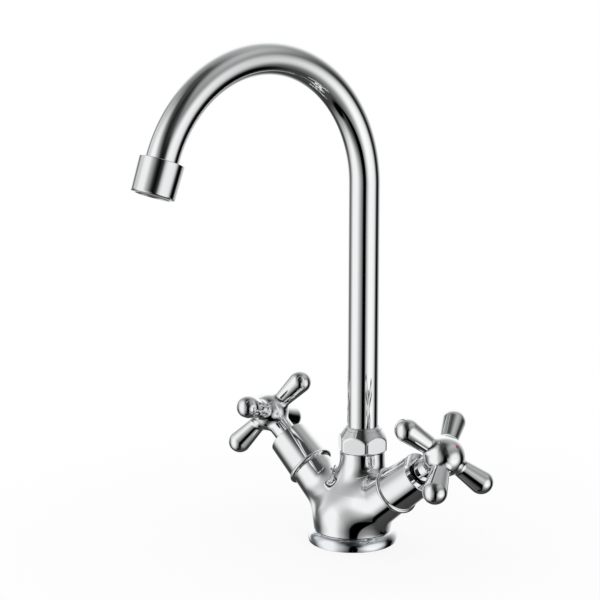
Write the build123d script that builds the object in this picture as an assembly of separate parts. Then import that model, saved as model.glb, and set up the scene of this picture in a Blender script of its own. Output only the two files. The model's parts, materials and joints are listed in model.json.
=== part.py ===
from build123d import *
from math import asin, atan, cos, hypot, pi, radians, sin, sqrt, tan
import os

# Two handle kitchen mixer tap: a branched brass body on a bead-edged base ring, a quarter-turn
# ceramic valve with a cross handle on each arm, and a swivelling high-arc spout.
# Millimetres. The origin is the centre of the foot on the worktop, +Z is up, -Y is the side
# that the user stands on, +X is the hot side.

# ---------------------------------------------------------------- driving dimensions

# spout
tube_diameter = 20.0
tube_wall = 1.2
arc_radius = 81.1
arc_centre_height = 230.3
arc_sweep = 160.0
spout_rest_turn = -3.5
riser_offset = 9.1

# outlet and aerator, lengths along the outlet axis
outlet_thread_step = 1.95
housing_start = 1.9
housing_length = 20.7
housing_wall = 1.65
housing_taper = 0.45
housing_lip = 1.8
housing_lip_reach = 2.95
housing_edge = 0.9
housing_bore_step = 0.5
housing_thread_relief = 0.6
outlet_bush_length = 8.6
aerator_washer_thickness = 1.0
aerator_cell_pitch = 2.9
aerator_cell_wall = 0.6
aerator_screen_thickness = 1.6
aerator_floor_thickness = 1.2
aerator_insert_wall = 1.2
aerator_jet_diameter = 1.8
aerator_jet_rings = ((6, 3.2), (12, 6.8))

# body casting
foot_height = 3.0
foot_radius = 23.8
belly_radius = 25.8
belly_height = 20.0
neck_shoulder_height = 57.7
neck_shoulder_width = 2.65
neck_thread_gap = 0.45
neck_bore_step = 0.75
neck_bore_depth = 25.0
mixing_chamber_step = 1.75
mixing_chamber_depth = 8.5
junction_fillet = 5.6

# valve arms: the face, the thread and the seat are placed along the valve axis, counted from
# where the two axes cross
valve_elevation = 37.5
valve_crossing_height = 12.1
arm_start = 8.0
arm_face = 46.2
arm_face_wall = 3.6
arm_taper = 2.1
valve_thread_diameter = 20.2
valve_thread_depth = 10.2
valve_seat_depth = 20.0
valve_chamber_step = 0.5
passage_diameter = 6.0
seat_port_diameter = 8.0

# connections in the underside
inlet_diameter = 8.92
inlet_depth = 12.0
inlet_spacing = 17.0
stud_hole_diameter = 6.8
stud_hole_depth = 14.0
stud_hole_margin = 0.6

# base ring
base_ring_rim = 4.6
base_ring_flattening = 0.3
base_ring_height = 8.0
base_ring_ledge = 2.5
gasket_margin = 3.5
gasket_width = 4.5
gasket_thickness = 1.6

# spout nut
nut_seat_gap = 0.2
nut_wall = 2.8
nut_height = 16.0
nut_lip = 1.9
nut_lip_height = 0.5
nut_crown_height = 5.6
nut_shoulder_height = 2.9
nut_shoulder_step = 1.6
nut_corner_rounding = 0.8
nut_foot_chamfer = 1.6
nut_turn = -38.0
nut_crown_wall = 1.0
slip_washer_thickness = 0.8
split_ring_thickness = 0.9
split_ring_reach = 1.5
split_ring_slot = 2.5
swivel_headroom = 4.8
tube_seat_rise = 1.0

# swivel bush and its seals
bush_floor_gap = 0.5
bush_wall = 2.65
bush_spigot_length = 7.5
spout_oring_section = 1.8
spout_oring_rises = (6.0, 14.5)

# valve bonnet
bonnet_seat_gap = 1.7
bonnet_skirt_gap = 0.6
bonnet_skirt_wall = 1.0
bonnet_gasket_thickness = 0.8
bonnet_flange_step = 1.1
bonnet_flange_thickness = 1.8
bonnet_hex_wall = 2.6
bonnet_hex_height = 8.2
bonnet_collar_step = 0.45
bonnet_height = 19.8
bonnet_window_width = 7.0
bonnet_window_height = 3.6
bonnet_thread_runout = 1.2

# spindle
spindle_barrel_diameter = 11.8
spindle_neck_step = 1.4
spindle_neck_length = 6.0
spindle_spline_step = 0.5
spindle_spline_teeth = 20
spindle_spline_length = 22.0
spindle_flange_gap = 0.2
spindle_flange_thickness = 2.6
spindle_tang_width = 8.6
spindle_oring_section = 1.8
spindle_oring_depths = (16.0, 8.0)
circlip_thickness = 0.8
circlip_reach = 1.3
circlip_groove_depth = 0.7
circlip_gap = 60.0

# ceramic discs and seat seal
disc_thickness = 2.2
disc_recess = 0.7
disc_port_rim = 1.95
disc_port_angle = 80.0
seat_seal_step = 0.5
seat_seal_gap = 0.3

# valve sleeve
sleeve_wall = 2.9
sleeve_taper = 1.0
sleeve_flange_reach = 1.5
sleeve_flange_thickness = 2.8
sleeve_cover_thickness = 1.2
sleeve_skirt = 7.6
sleeve_rim = 4.1
sleeve_edge = 0.4
sleeve_hexagon_room = 1.0

# cross handle
hub_diameter = 25.6
hub_rise = 8.5
stem_wall = 1.55
handle_arm_reach = 29.3
handle_bulb_diameter = 15.4
handle_arm_root_diameter = 11.2
handle_arm_count = 4
handle_root_fillet = 2.0
handle_rest_angles = {"hot": 41.3, "cold": 24.5}
cap_rim = 2.3
cap_depth = 6.8
dot_diameter = 2.2
dot_depth = 1.2
screw_diameter = 5.0
screw_head_step = 1.7
screw_head_height = 3.2
screw_length = 14.0
screw_socket = 3.0
screw_web = 4.0
screw_head_room = 0.5
screw_top_room = 0.6
cap_skirt_wall = 1.0

# fits
oring_groove_room = 0.2
running_clearance = 0.10
assembly_clearance = 0.05
free_clearance = 0.30
face_gap = 0.05

# ---------------------------------------------------------------- sizes that follow

# spout, outwards from the tube
tube_radius = tube_diameter / 2
tube_bore_radius = tube_radius - tube_wall
outlet_thread_diameter = tube_diameter + 2 * outlet_thread_step
housing_top_diameter = outlet_thread_diameter + 2 * housing_wall
housing_mouth_diameter = housing_top_diameter - 2 * housing_taper
housing_lip_opening = housing_mouth_diameter - 2 * housing_lip_reach
outlet_bush_start = housing_start + 0.5
outlet_bush_end = outlet_bush_start + outlet_bush_length
aerator_top = outlet_bush_end + aerator_washer_thickness + face_gap
aerator_bottom = housing_start + housing_length - housing_lip - face_gap

# swivel, neck and nut, outwards from the tube and upwards from the neck's shoulder
split_ring_diameter = tube_diameter + 2 * split_ring_reach
neck_thread_diameter = split_ring_diameter + 2 * neck_thread_gap
neck_diameter = neck_thread_diameter + 2 * neck_shoulder_width
neck_radius = neck_diameter / 2
neck_bore_diameter = tube_diameter - 2 * neck_bore_step
bush_bore = neck_bore_diameter - 2 * running_clearance - 2 * bush_wall
mixing_chamber_diameter = neck_bore_diameter - 2 * mixing_chamber_step
nut_across_flats = neck_thread_diameter + 2 * nut_wall
nut_crown_diameter = tube_diameter + 2 * nut_crown_wall
nut_bottom = neck_shoulder_height + nut_seat_gap
nut_top = nut_bottom + nut_height
neck_top_height = nut_top - swivel_headroom
neck_bore_floor = neck_top_height - neck_bore_depth
mixing_chamber_floor = neck_bore_floor - mixing_chamber_depth
bush_bottom = neck_bore_floor + bush_floor_gap
tube_seat = nut_top - nut_lip + tube_seat_rise

# base ring, outwards from the foot
base_ring_diameter = 2 * (foot_radius + free_clearance + base_ring_rim)
base_ring_bead = base_ring_height / 2 + base_ring_flattening
gasket_outer_diameter = base_ring_diameter - 2 * gasket_margin
gasket_inner_diameter = gasket_outer_diameter - 2 * gasket_width
base_ring_bore = gasket_inner_diameter - 2 * base_ring_ledge
stud_hole_offset = base_ring_bore / 2 - stud_hole_diameter / 2 - stud_hole_margin

# valve, across its axis
arm_face_diameter = valve_thread_diameter + 2 * arm_face_wall
arm_root_diameter = arm_face_diameter + 2 * arm_taper
valve_chamber_diameter = valve_thread_diameter - 2 * valve_chamber_step
bonnet_skirt_diameter = valve_chamber_diameter - 2 * bonnet_skirt_gap
bonnet_disc_bore = bonnet_skirt_diameter - 2 * bonnet_skirt_wall
bonnet_flange_diameter = valve_thread_diameter + 2 * bonnet_flange_step
bonnet_hex = spindle_barrel_diameter + 2 * bonnet_hex_wall
bonnet_collar_diameter = bonnet_hex + 2 * bonnet_collar_step
spindle_flange_diameter = bonnet_disc_bore - 2 * spindle_flange_gap
spindle_neck_diameter = spindle_barrel_diameter - 2 * spindle_neck_step
spindle_spline_diameter = spindle_neck_diameter - 2 * spindle_spline_step
circlip_diameter = spindle_neck_diameter + 2 * circlip_reach
circlip_groove_diameter = spindle_spline_diameter - 2 * circlip_groove_depth
disc_port_radius = bonnet_disc_bore / 2 - assembly_clearance - disc_port_rim
seat_seal_inner_diameter = seat_port_diameter + 2 * seat_seal_step
seat_seal_outer_diameter = bonnet_skirt_diameter - 2 * seat_seal_gap
widest_inside = max(bonnet_flange_diameter, bonnet_hex * 2 / sqrt(3))
sleeve_root_diameter = widest_inside + 2 * (free_clearance + sleeve_wall)
sleeve_flange_diameter = sleeve_root_diameter + 2 * sleeve_flange_reach
sleeve_mouth_diameter = sleeve_root_diameter - 2 * sleeve_taper

# valve, along its axis
valve_thread_start = arm_face - valve_thread_depth
valve_seat = arm_face - valve_seat_depth
bonnet_foot = valve_seat + bonnet_seat_gap
bonnet_top = arm_face + bonnet_height
spindle_neck_start = bonnet_top - spindle_neck_length
spindle_top = bonnet_top + spindle_spline_length
sleeve_cover_top = bonnet_top + face_gap + sleeve_cover_thickness
sleeve_end = bonnet_top + sleeve_skirt

# cross handle
stem_diameter = circlip_diameter + 2 * stem_wall
stem_end = sleeve_cover_top + free_clearance
hub_station = spindle_top + hub_rise
screw_head_diameter = screw_diameter + 2 * screw_head_step
screw_well_diameter = screw_head_diameter + 2 * screw_head_room
cap_diameter = screw_head_diameter + 2 * cap_rim
cap_seat = hub_station + hub_diameter / 2 - cap_depth

# names and signs of the two sides
sides = {"hot": 1, "cold": -1}


# ---------------------------------------------------------------- places

def valve_place(side):
    """The valve axis of one side: local Z runs outwards from where the axes cross."""
    lean = (90 - valve_elevation) * sides[side]
    return Pos(0, 0, valve_crossing_height) * Rot(0, lean, 0)


def riser_place():
    """The vertical spout axis."""
    return Pos(0, riser_offset, 0)


def spout_turn():
    """Turns what is built facing -Y to the angle that the spout stands at."""
    return riser_place() * Rot(0, 0, spout_rest_turn) * Pos(0, -riser_offset, 0)


def outlet_place():
    """The end of the spout's arc: local Z runs on out of the mouth."""
    centre = Pos(0, riser_offset - arc_radius, arc_centre_height)
    return centre * Rot(arc_sweep, 0, 0) * Pos(0, arc_radius, 0)


# ---------------------------------------------------------------- shapes used often

def rod(diameter, bottom, top):
    """A round bar on Z."""
    return Pos(0, 0, bottom) * Cylinder(
        diameter / 2, top - bottom, align=(Align.CENTER, Align.CENTER, Align.MIN))


def ring(inner_diameter, outer_diameter, bottom, top):
    """A plain ring on Z."""
    return rod(outer_diameter, bottom, top) - rod(inner_diameter, bottom - 1, top + 1)


def hexagon(across_flats, bottom, top):
    """A hexagonal bar on Z, with a corner on the local X axis."""
    outline = RegularPolygon(across_flats / 2, 6, major_radius=False)
    return Pos(0, 0, bottom) * extrude(outline, top - bottom)


def oring(section, outer_diameter, height):
    """An O-ring that lies flat around Z."""
    return Pos(0, 0, height) * Torus(outer_diameter / 2 - section / 2, section / 2)


def spread(piece, count, start=0.0):
    """The piece repeated around Z."""
    return [Rot(0, 0, start + 360 / count * turn) * piece for turn in range(count)]


# ---------------------------------------------------------------- body casting

def trunk_form():
    """The belly, which swells above the foot and leans back as it narrows into the neck."""
    swell = belly_radius - foot_radius
    taper = belly_radius - neck_radius
    rise = neck_shoulder_height - belly_height
    stations = [
        (foot_height, 0.0, foot_radius),
        (belly_height * 0.45, 0.0, foot_radius + swell * 0.1),
        (belly_height * 0.72, 0.0, foot_radius + swell * 0.8),
        (belly_height, 0.04, belly_radius),
        (belly_height + rise * 0.16, 0.18, neck_radius + taper * 0.91),
        (belly_height + rise * 0.34, 0.45, neck_radius + taper * 0.64),
        (belly_height + rise * 0.55, 0.77, neck_radius + taper * 0.28),
        (belly_height + rise * 0.74, 0.95, neck_radius + taper * 0.06),
        (belly_height + rise * 0.89, 1.0, neck_radius),
        (neck_shoulder_height, 1.0, neck_radius),
    ]
    sections = []
    for height, lean, radius in stations:
        centre = (0, riser_offset * lean, height)
        level = Plane(origin=centre, x_dir=(0, 1, 0), z_dir=(0, 0, 1))
        sections.append(level * Circle(radius))
    return loft(sections)


def arm_form(side):
    """One tapering valve arm, from inside the belly to its end face."""
    arm = Cone(arm_root_diameter / 2, arm_face_diameter / 2, arm_face - arm_start,
               align=(Align.CENTER, Align.CENTER, Align.MIN))
    return valve_place(side) * Pos(0, 0, arm_start) * arm


def junction_edges(form):
    """The free-form edges where the arms leave the belly."""
    plain = (GeomType.LINE, GeomType.CIRCLE, GeomType.ELLIPSE)
    edges = [edge for edge in form.edges() if edge.geom_type not in plain]
    return [edge for edge in edges if edge.bounding_box().min.Z > foot_height + 1]


def valve_bore(side):
    """The threaded mouth, the chamber and the port in the seat of one arm."""
    port_reach = inlet_spacing / 2 / cos(radians(valve_elevation))
    bore = rod(valve_chamber_diameter, valve_seat, arm_face)
    bore += rod(valve_thread_diameter, valve_thread_start, arm_face + 1)
    bore += rod(seat_port_diameter, port_reach, valve_seat + 1)
    return valve_place(side) * bore


def inlet_bore(side):
    """The threaded inlet and the passage that climbs to the seat's port."""
    climb = valve_crossing_height + inlet_spacing / 2 * tan(radians(valve_elevation))
    bore = rod(inlet_diameter, foot_height - 1, foot_height + inlet_depth)
    bore += rod(passage_diameter, foot_height, climb)
    return Pos(sides[side] * inlet_spacing / 2, 0, 0) * bore


def mixing_passage(side):
    """The drilled way from one valve chamber to the mixing chamber under the spout."""
    station = valve_seat + (valve_thread_start - valve_seat) / 2
    lean = radians(valve_elevation)
    start = Vector(sides[side] * station * cos(lean), 0,
                   valve_crossing_height + station * sin(lean))
    end = Vector(0, riser_offset, mixing_chamber_floor + passage_diameter / 2)
    way = end - start
    drill = Plane(origin=start, z_dir=way)
    return drill * Cylinder(passage_diameter / 2, way.length,
                            align=(Align.CENTER, Align.CENTER, Align.MIN))


def body_casting():
    """The branched casting with its waterways, seats and threaded ports."""
    form = trunk_form()
    for side in sides:
        form += arm_form(side)
    form = form.fillet(junction_fillet, junction_edges(form))
    neck = rod(neck_thread_diameter, neck_shoulder_height - 1, neck_top_height)
    form += riser_place() * neck
    neck_bore = rod(neck_bore_diameter, neck_bore_floor, neck_top_height + 1)
    neck_bore += rod(mixing_chamber_diameter, mixing_chamber_floor, neck_top_height)
    form -= riser_place() * neck_bore
    for side in sides:
        form -= valve_bore(side)
        form -= inlet_bore(side)
        form -= mixing_passage(side)
    stud_hole = rod(stud_hole_diameter, foot_height - 1, foot_height + stud_hole_depth)
    form -= Pos(0, stud_hole_offset, 0) * stud_hole
    return form


# ---------------------------------------------------------------- base

def base_ring():
    """The round-beaded ring that the casting's foot is seated in."""
    widest = base_ring_diameter / 2
    recess = foot_radius + free_clearance
    bead_centre = widest - base_ring_bead
    bead_height = base_ring_height - base_ring_bead
    sole_edge = bead_centre + sqrt(base_ring_bead ** 2 - bead_height ** 2)
    inner_top = bead_height + sqrt(base_ring_bead ** 2 - (recess - bead_centre) ** 2)
    bead = ThreePointArc((sole_edge, 0), (widest, bead_height), (recess, inner_top))
    inside = Polyline((recess, inner_top), (recess, foot_height),
                      (base_ring_bore / 2, foot_height), (base_ring_bore / 2, 0), (sole_edge, 0))
    body = revolve(Plane.XZ * make_face([bead, inside]), Axis.Z)
    return body - ring(gasket_inner_diameter, gasket_outer_diameter, -1, gasket_thickness)


def base_gasket():
    """The soft ring let into the underside of the base ring."""
    side_gap = 2 * assembly_clearance
    return ring(gasket_inner_diameter + side_gap, gasket_outer_diameter - side_gap, 0,
                gasket_thickness)


# ---------------------------------------------------------------- spout nut and swivel

def spout_nut():
    """The union nut: a hexagon with rounded corners, cut off by its shoulder and conical crown."""
    corner = nut_across_flats / sqrt(3)
    lip_base = nut_top - nut_lip_height
    crown_base = lip_base - nut_crown_height
    shoulder_base = crown_base - nut_shoulder_height
    side = Polyline((0, nut_bottom), (nut_across_flats / 2, nut_bottom),
                    (corner, nut_bottom + nut_foot_chamfer), (corner, shoulder_base),
                    (corner - nut_shoulder_step, crown_base), (nut_crown_diameter / 2, lip_base),
                    (nut_crown_diameter / 2, nut_top), (0, nut_top), close=True)
    outline = RegularPolygon(nut_across_flats / 2, 6, major_radius=False)
    outline = fillet(outline.vertices(), nut_corner_rounding)
    bar = Pos(0, 0, nut_bottom - 1) * extrude(outline, nut_height + 2)
    nut = revolve(Plane.XZ * make_face(side), Axis.Z) & bar
    thread = neck_thread_diameter + 2 * assembly_clearance
    nut -= rod(thread, nut_bottom - 1, nut_top - nut_lip)
    nut -= rod(tube_diameter + 2 * free_clearance, nut_bottom, nut_top + 1)
    return riser_place() * Rot(0, 0, nut_turn) * nut


def slip_washer():
    """The plastic washer that the turning split ring slides against under the nut's lip."""
    top = nut_top - nut_lip
    washer = ring(tube_diameter + 2 * free_clearance, neck_thread_diameter - 0.4,
                  top - slip_washer_thickness, top)
    return riser_place() * washer


def split_ring_level():
    """The underside of the split ring."""
    return nut_top - nut_lip - slip_washer_thickness - face_gap - split_ring_thickness


def split_ring():
    """The ring, cut through at one place, that holds the spout down."""
    bottom = split_ring_level()
    inner = tube_diameter - 2 * tube_wall + 2 * assembly_clearance
    body = ring(inner, split_ring_diameter, bottom, bottom + split_ring_thickness)
    slot = Box(split_ring_slot, split_ring_diameter, 4 * split_ring_thickness,
               align=(Align.CENTER, Align.MIN, Align.CENTER))
    return riser_place() * (body - Pos(0, 0, bottom) * slot)


def spout_oring_heights():
    """Where the two O-rings lie, counted from the bush's lower end."""
    return [bush_bottom + rise for rise in spout_oring_rises]


def swivel_bush():
    """The turned end of the spout, which turns in the neck's bore on two O-rings."""
    barrel = neck_bore_diameter - 2 * running_clearance
    collar_bottom = neck_top_height + face_gap
    bush = rod(barrel, bush_bottom, collar_bottom)
    bush += rod(tube_diameter, collar_bottom, tube_seat)
    spigot = 2 * (tube_bore_radius - assembly_clearance)
    bush += rod(spigot, tube_seat, tube_seat + bush_spigot_length)
    groove_floor = tube_diameter - 2 * tube_wall
    groove_bottom = split_ring_level() - face_gap
    groove_top = groove_bottom + split_ring_thickness + 2 * face_gap
    bush -= ring(groove_floor, tube_diameter + 1, groove_bottom, groove_top)
    seal_floor = neck_bore_diameter - 2 * spout_oring_section - 0.3
    half_width = spout_oring_section / 2 + oring_groove_room
    for height in spout_oring_heights():
        bush -= ring(seal_floor, barrel + 1, height - half_width, height + half_width)
    bush -= rod(bush_bore, bush_bottom - 1, tube_seat + bush_spigot_length + 1)
    return riser_place() * bush


def spout_orings():
    """The two O-rings of the swivel."""
    outer = neck_bore_diameter - 2 * assembly_clearance
    rings = [oring(spout_oring_section, outer, height) for height in spout_oring_heights()]
    return [riser_place() * seal for seal in rings]


# ---------------------------------------------------------------- spout

def spout_tube():
    """The bent tube: a riser, one large arc and a short straight end for the outlet."""
    section = Circle(tube_radius) - Circle(tube_bore_radius)
    riser_bottom = tube_seat + face_gap
    riser = extrude(Pos(0, riser_offset, riser_bottom) * section, arc_centre_height - riser_bottom)
    arc_axis = Axis((0, riser_offset - arc_radius, arc_centre_height), (1, 0, 0))
    arc = revolve(Pos(0, riser_offset, arc_centre_height) * section, arc_axis, arc_sweep)
    tail = outlet_place() * extrude(section, outlet_bush_end - tube_wall)
    return riser + arc + tail


def outlet_bush():
    """The threaded collar brazed over the end of the tube."""
    tube_stop = outlet_bush_end - tube_wall + face_gap
    bush = rod(outlet_thread_diameter, outlet_bush_start, outlet_bush_end)
    bush -= rod(tube_diameter + 2 * assembly_clearance, outlet_bush_start - 1, tube_stop)
    bush -= rod(2 * tube_bore_radius, outlet_bush_start, outlet_bush_end + 1)
    return outlet_place() * bush


def aerator_housing():
    """The turned collar that screws onto the outlet and holds the aerator."""
    top = housing_start
    mouth = housing_start + housing_length
    top_radius = housing_top_diameter / 2
    mouth_radius = housing_mouth_diameter / 2
    thread_radius = outlet_thread_diameter / 2 + assembly_clearance
    insert_radius = thread_radius - housing_bore_step
    relief = outlet_bush_end + housing_thread_relief
    edge = housing_edge
    outside = Polyline((thread_radius, top), (top_radius - 0.3, top), (top_radius, top + 0.3),
                       (mouth_radius + 0.05, mouth - edge))
    lip = ThreePointArc((mouth_radius + 0.05, mouth - edge),
                        (mouth_radius - edge * 0.28, mouth - edge * 0.27),
                        (mouth_radius - edge, mouth))
    inside = Polyline((mouth_radius - edge, mouth), (housing_lip_opening / 2, mouth),
                      (housing_lip_opening / 2, mouth - housing_lip),
                      (insert_radius, mouth - housing_lip), (insert_radius, relief),
                      (thread_radius, relief), (thread_radius, top))
    return outlet_place() * revolve(Plane.XZ * make_face([outside, lip, inside]), Axis.Z)


def aerator_insert_diameter():
    """The plastic insert fits the housing's plain bore."""
    return outlet_thread_diameter - 2 * (housing_bore_step + assembly_clearance)


def aerator_washer():
    """The flat rubber washer between the outlet and the aerator insert."""
    return outlet_place() * ring(2 * tube_bore_radius - 2, aerator_insert_diameter(),
                                 outlet_bush_end, outlet_bush_end + aerator_washer_thickness)


def aerator_insert():
    """The plastic cup of the aerator, with a ring of jets through its floor."""
    outer = aerator_insert_diameter()
    screen_top = aerator_bottom - aerator_screen_thickness
    cup = ring(outer - 2 * aerator_insert_wall, outer, aerator_top, screen_top)
    cup += rod(outer - aerator_insert_wall, aerator_top, aerator_top + aerator_floor_thickness)
    jet = rod(aerator_jet_diameter, aerator_top - 1, aerator_top + aerator_floor_thickness + 1)
    for count, reach in aerator_jet_rings:
        cup -= spread(Pos(reach, 0, 0) * jet, count)
    return outlet_place() * cup


def aerator_screen():
    """The honeycomb that straightens the stream, at the mouth."""
    outer = aerator_insert_diameter()
    top = aerator_bottom - aerator_screen_thickness + face_gap
    disc = rod(outer, top, aerator_bottom)
    cell = hexagon(aerator_cell_pitch - aerator_cell_wall, top - 1, aerator_bottom + 1)
    reach = outer / 2 - aerator_cell_pitch
    cells = []
    row_step = aerator_cell_pitch * sqrt(3) / 2
    rows = int(outer / aerator_cell_pitch)
    for row in range(-rows, rows + 1):
        for column in range(-rows, rows + 1):
            across = (column + (row % 2) / 2) * aerator_cell_pitch
            along = row * row_step
            if hypot(across, along) < reach:
                cells.append(Pos(across, along, 0) * Rot(0, 0, 30) * cell)
    return outlet_place() * (disc - cells)


# ---------------------------------------------------------------- valve, along local Z

def bonnet_flange_bottom():
    """The bonnet's flange rests on its gasket on the arm's face."""
    return arm_face + bonnet_gasket_thickness


def disc_levels():
    """Undersides of the fixed and of the turning ceramic disc."""
    fixed = bonnet_foot + disc_recess
    return fixed, fixed + disc_thickness + face_gap


def spindle_flange_level():
    """The underside of the spindle's foot, on the turning disc."""
    return disc_levels()[1] + disc_thickness + face_gap


def valve_bonnet():
    """The screwed valve body: skirt with windows, thread, flange, hexagon and collar."""
    flange = bonnet_flange_bottom()
    hexagon_bottom = flange + bonnet_flange_thickness
    hexagon_top = hexagon_bottom + bonnet_hex_height
    thread = valve_thread_diameter - 2 * assembly_clearance
    thread_bottom = valve_thread_start + bonnet_thread_runout
    bonnet = rod(bonnet_skirt_diameter, bonnet_foot, thread_bottom)
    bonnet += rod(thread, thread_bottom, flange)
    bonnet += rod(bonnet_flange_diameter, flange, hexagon_bottom)
    bonnet += hexagon(bonnet_hex, hexagon_bottom, hexagon_top)
    bonnet += rod(bonnet_collar_diameter, hexagon_top, bonnet_top)
    spindle_foot_top = spindle_flange_level() + spindle_flange_thickness + free_clearance
    bonnet -= rod(bonnet_disc_bore, bonnet_foot - 1, spindle_foot_top)
    bonnet -= rod(spindle_barrel_diameter + 2 * running_clearance, bonnet_foot,
                  spindle_neck_start)
    bonnet -= rod(spindle_neck_diameter + 2 * running_clearance, bonnet_foot, bonnet_top + 1)
    window = Pos(0, 0, spindle_flange_level() - 0.6) * Box(
        bonnet_window_width, bonnet_skirt_diameter * 2, bonnet_window_height,
        align=(Align.CENTER, Align.CENTER, Align.MIN))
    return bonnet - window


def bonnet_gasket():
    """The flat seal between the arm's face and the bonnet's flange."""
    return ring(valve_thread_diameter + 0.2, bonnet_flange_diameter - 0.2, arm_face,
                bonnet_flange_bottom())


def disc(level, diameter):
    """A ceramic disc with two ports, which line up when the valve is open."""
    body = rod(diameter, level, level + disc_thickness)
    reach = disc_port_radius
    corner = Vector(reach * 2, 0).rotate(Axis.Z, disc_port_angle / 2)
    wedge = make_face(Polyline((0, 0), (corner.X, -corner.Y), (corner.X, corner.Y), close=True))
    sector = Circle(reach) & wedge
    sector -= Circle(reach * 0.35)
    port = Pos(0, 0, level - 1) * extrude(sector, disc_thickness + 2)
    return body - spread(port, 2)


def fixed_disc():
    """The ceramic disc that stands still on the seat seal."""
    return disc(disc_levels()[0], bonnet_disc_bore - 2 * assembly_clearance)


def turning_disc():
    """The ceramic disc that the spindle turns; its ports stand across the fixed ones."""
    return Rot(0, 0, 90) * disc(disc_levels()[1], bonnet_disc_bore - 2 * running_clearance)


def seat_seal():
    """The rubber ring that presses the fixed disc up from the seat."""
    wide = ring(seat_seal_inner_diameter, seat_seal_outer_diameter, valve_seat,
                bonnet_foot - face_gap)
    narrow = ring(seat_seal_inner_diameter, bonnet_disc_bore - 1, valve_seat, disc_levels()[0])
    return wide + narrow


def spline_outline():
    """The toothed end of the spindle, as the handle's broached hole meets it."""
    tooth = 2 * pi * (spindle_spline_diameter / 2) / spindle_spline_teeth
    root = spindle_spline_diameter / 2 - tooth * 0.35
    notch = Pos(spindle_spline_diameter / 2, 0) * Rot(0, 0, 45) * Rectangle(tooth / 2, tooth / 2)
    outline = Circle(spindle_spline_diameter / 2)
    for turn in range(spindle_spline_teeth):
        outline -= Rot(0, 0, 360 / spindle_spline_teeth * turn) * notch
    return outline + Circle(root)


def spindle_oring_stations():
    """Where the two O-rings lie, counted down from the spindle's neck."""
    return [spindle_neck_start - depth for depth in spindle_oring_depths]


def spindle():
    """The turned brass spindle: foot, sealed barrel, neck and splined end."""
    foot = spindle_flange_level()
    foot_top = foot + spindle_flange_thickness
    body = rod(spindle_flange_diameter, foot, foot_top)
    flat = spindle_flange_diameter - spindle_tang_width
    body -= [Pos(0, reach * spindle_flange_diameter / 2, foot) * Box(
        spindle_flange_diameter, flat, 2 * spindle_flange_thickness) for reach in (-1, 1)]
    body += rod(spindle_barrel_diameter, foot_top - 1, spindle_neck_start - free_clearance)
    body += rod(spindle_neck_diameter, spindle_neck_start - 1, bonnet_top + free_clearance)
    body += Pos(0, 0, bonnet_top) * extrude(spline_outline(), spindle_top - bonnet_top)
    seal_floor = spindle_barrel_diameter - 2 * spindle_oring_section - 0.1
    half_width = spindle_oring_section / 2 + oring_groove_room
    for station in spindle_oring_stations():
        body -= ring(seal_floor, spindle_barrel_diameter + 1, station - half_width,
                     station + half_width)
    groove_bottom = bonnet_top + face_gap
    groove = ring(circlip_groove_diameter, spindle_neck_diameter + 1, groove_bottom,
                  groove_bottom + circlip_thickness + 2 * face_gap)
    body -= groove
    body -= rod(screw_diameter + 2 * assembly_clearance, screw_tip() - 1, spindle_top + 1)
    return body


def spindle_orings():
    """The two O-rings on the spindle's barrel."""
    outer = spindle_barrel_diameter + running_clearance
    return [oring(spindle_oring_section, outer, station) for station in spindle_oring_stations()]


def circlip():
    """The open ring that keeps the spindle in the bonnet."""
    bottom = bonnet_top + 2 * face_gap
    inner = circlip_groove_diameter + 2 * assembly_clearance
    clip = ring(inner, circlip_diameter, bottom, bottom + circlip_thickness)
    reach = circlip_diameter
    half = radians(circlip_gap / 2)
    outline = Polyline((0, 0), (reach * cos(half), -reach * sin(half)),
                       (reach * cos(half), reach * sin(half)), close=True)
    opening = extrude(Pos(0, 0, bottom - 1) * make_face(outline), circlip_thickness + 2)
    return clip - opening


# ---------------------------------------------------------------- valve sleeve

def valve_sleeve():
    """The chromed sleeve that screws onto the bonnet and covers it up to the handle's stem."""
    flange_top = arm_face + sleeve_flange_thickness
    flange_radius = sleeve_flange_diameter / 2
    bead_start = flange_radius - sleeve_flange_thickness / 2
    root_radius = sleeve_root_diameter / 2
    mouth_radius = sleeve_mouth_diameter / 2
    bead = ThreePointArc((bead_start, arm_face),
                         (flange_radius, arm_face + sleeve_flange_thickness / 2),
                         (bead_start, flange_top))
    throat = root_radius - sleeve_wall
    thread = bonnet_collar_diameter / 2 + assembly_clearance
    hexagon_top = bonnet_flange_bottom() + bonnet_flange_thickness + bonnet_hex_height
    web_bottom = hexagon_top + sleeve_hexagon_room
    cover_bottom = sleeve_cover_top - sleeve_cover_thickness
    cover_bore = stem_diameter / 2 + free_clearance
    recess = mouth_radius - sleeve_rim
    outside = Polyline((bead_start, flange_top), (root_radius, flange_top),
                       (mouth_radius, sleeve_end - sleeve_edge),
                       (mouth_radius - sleeve_edge, sleeve_end),
                       (recess, sleeve_end), (recess, sleeve_cover_top),
                       (cover_bore, sleeve_cover_top), (cover_bore, cover_bottom),
                       (thread, cover_bottom), (thread, web_bottom), (throat, hexagon_top),
                       (throat, arm_face), (bead_start, arm_face))
    return revolve(Plane.XZ * make_face([bead, outside]), Axis.Z)


# ---------------------------------------------------------------- cross handle

def screw_seat():
    """Where the screw's head bears in the handle."""
    return spindle_top + free_clearance + screw_web


def screw_tip():
    """The lower end of the screw, inside the spindle."""
    return screw_seat() - screw_length


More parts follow.
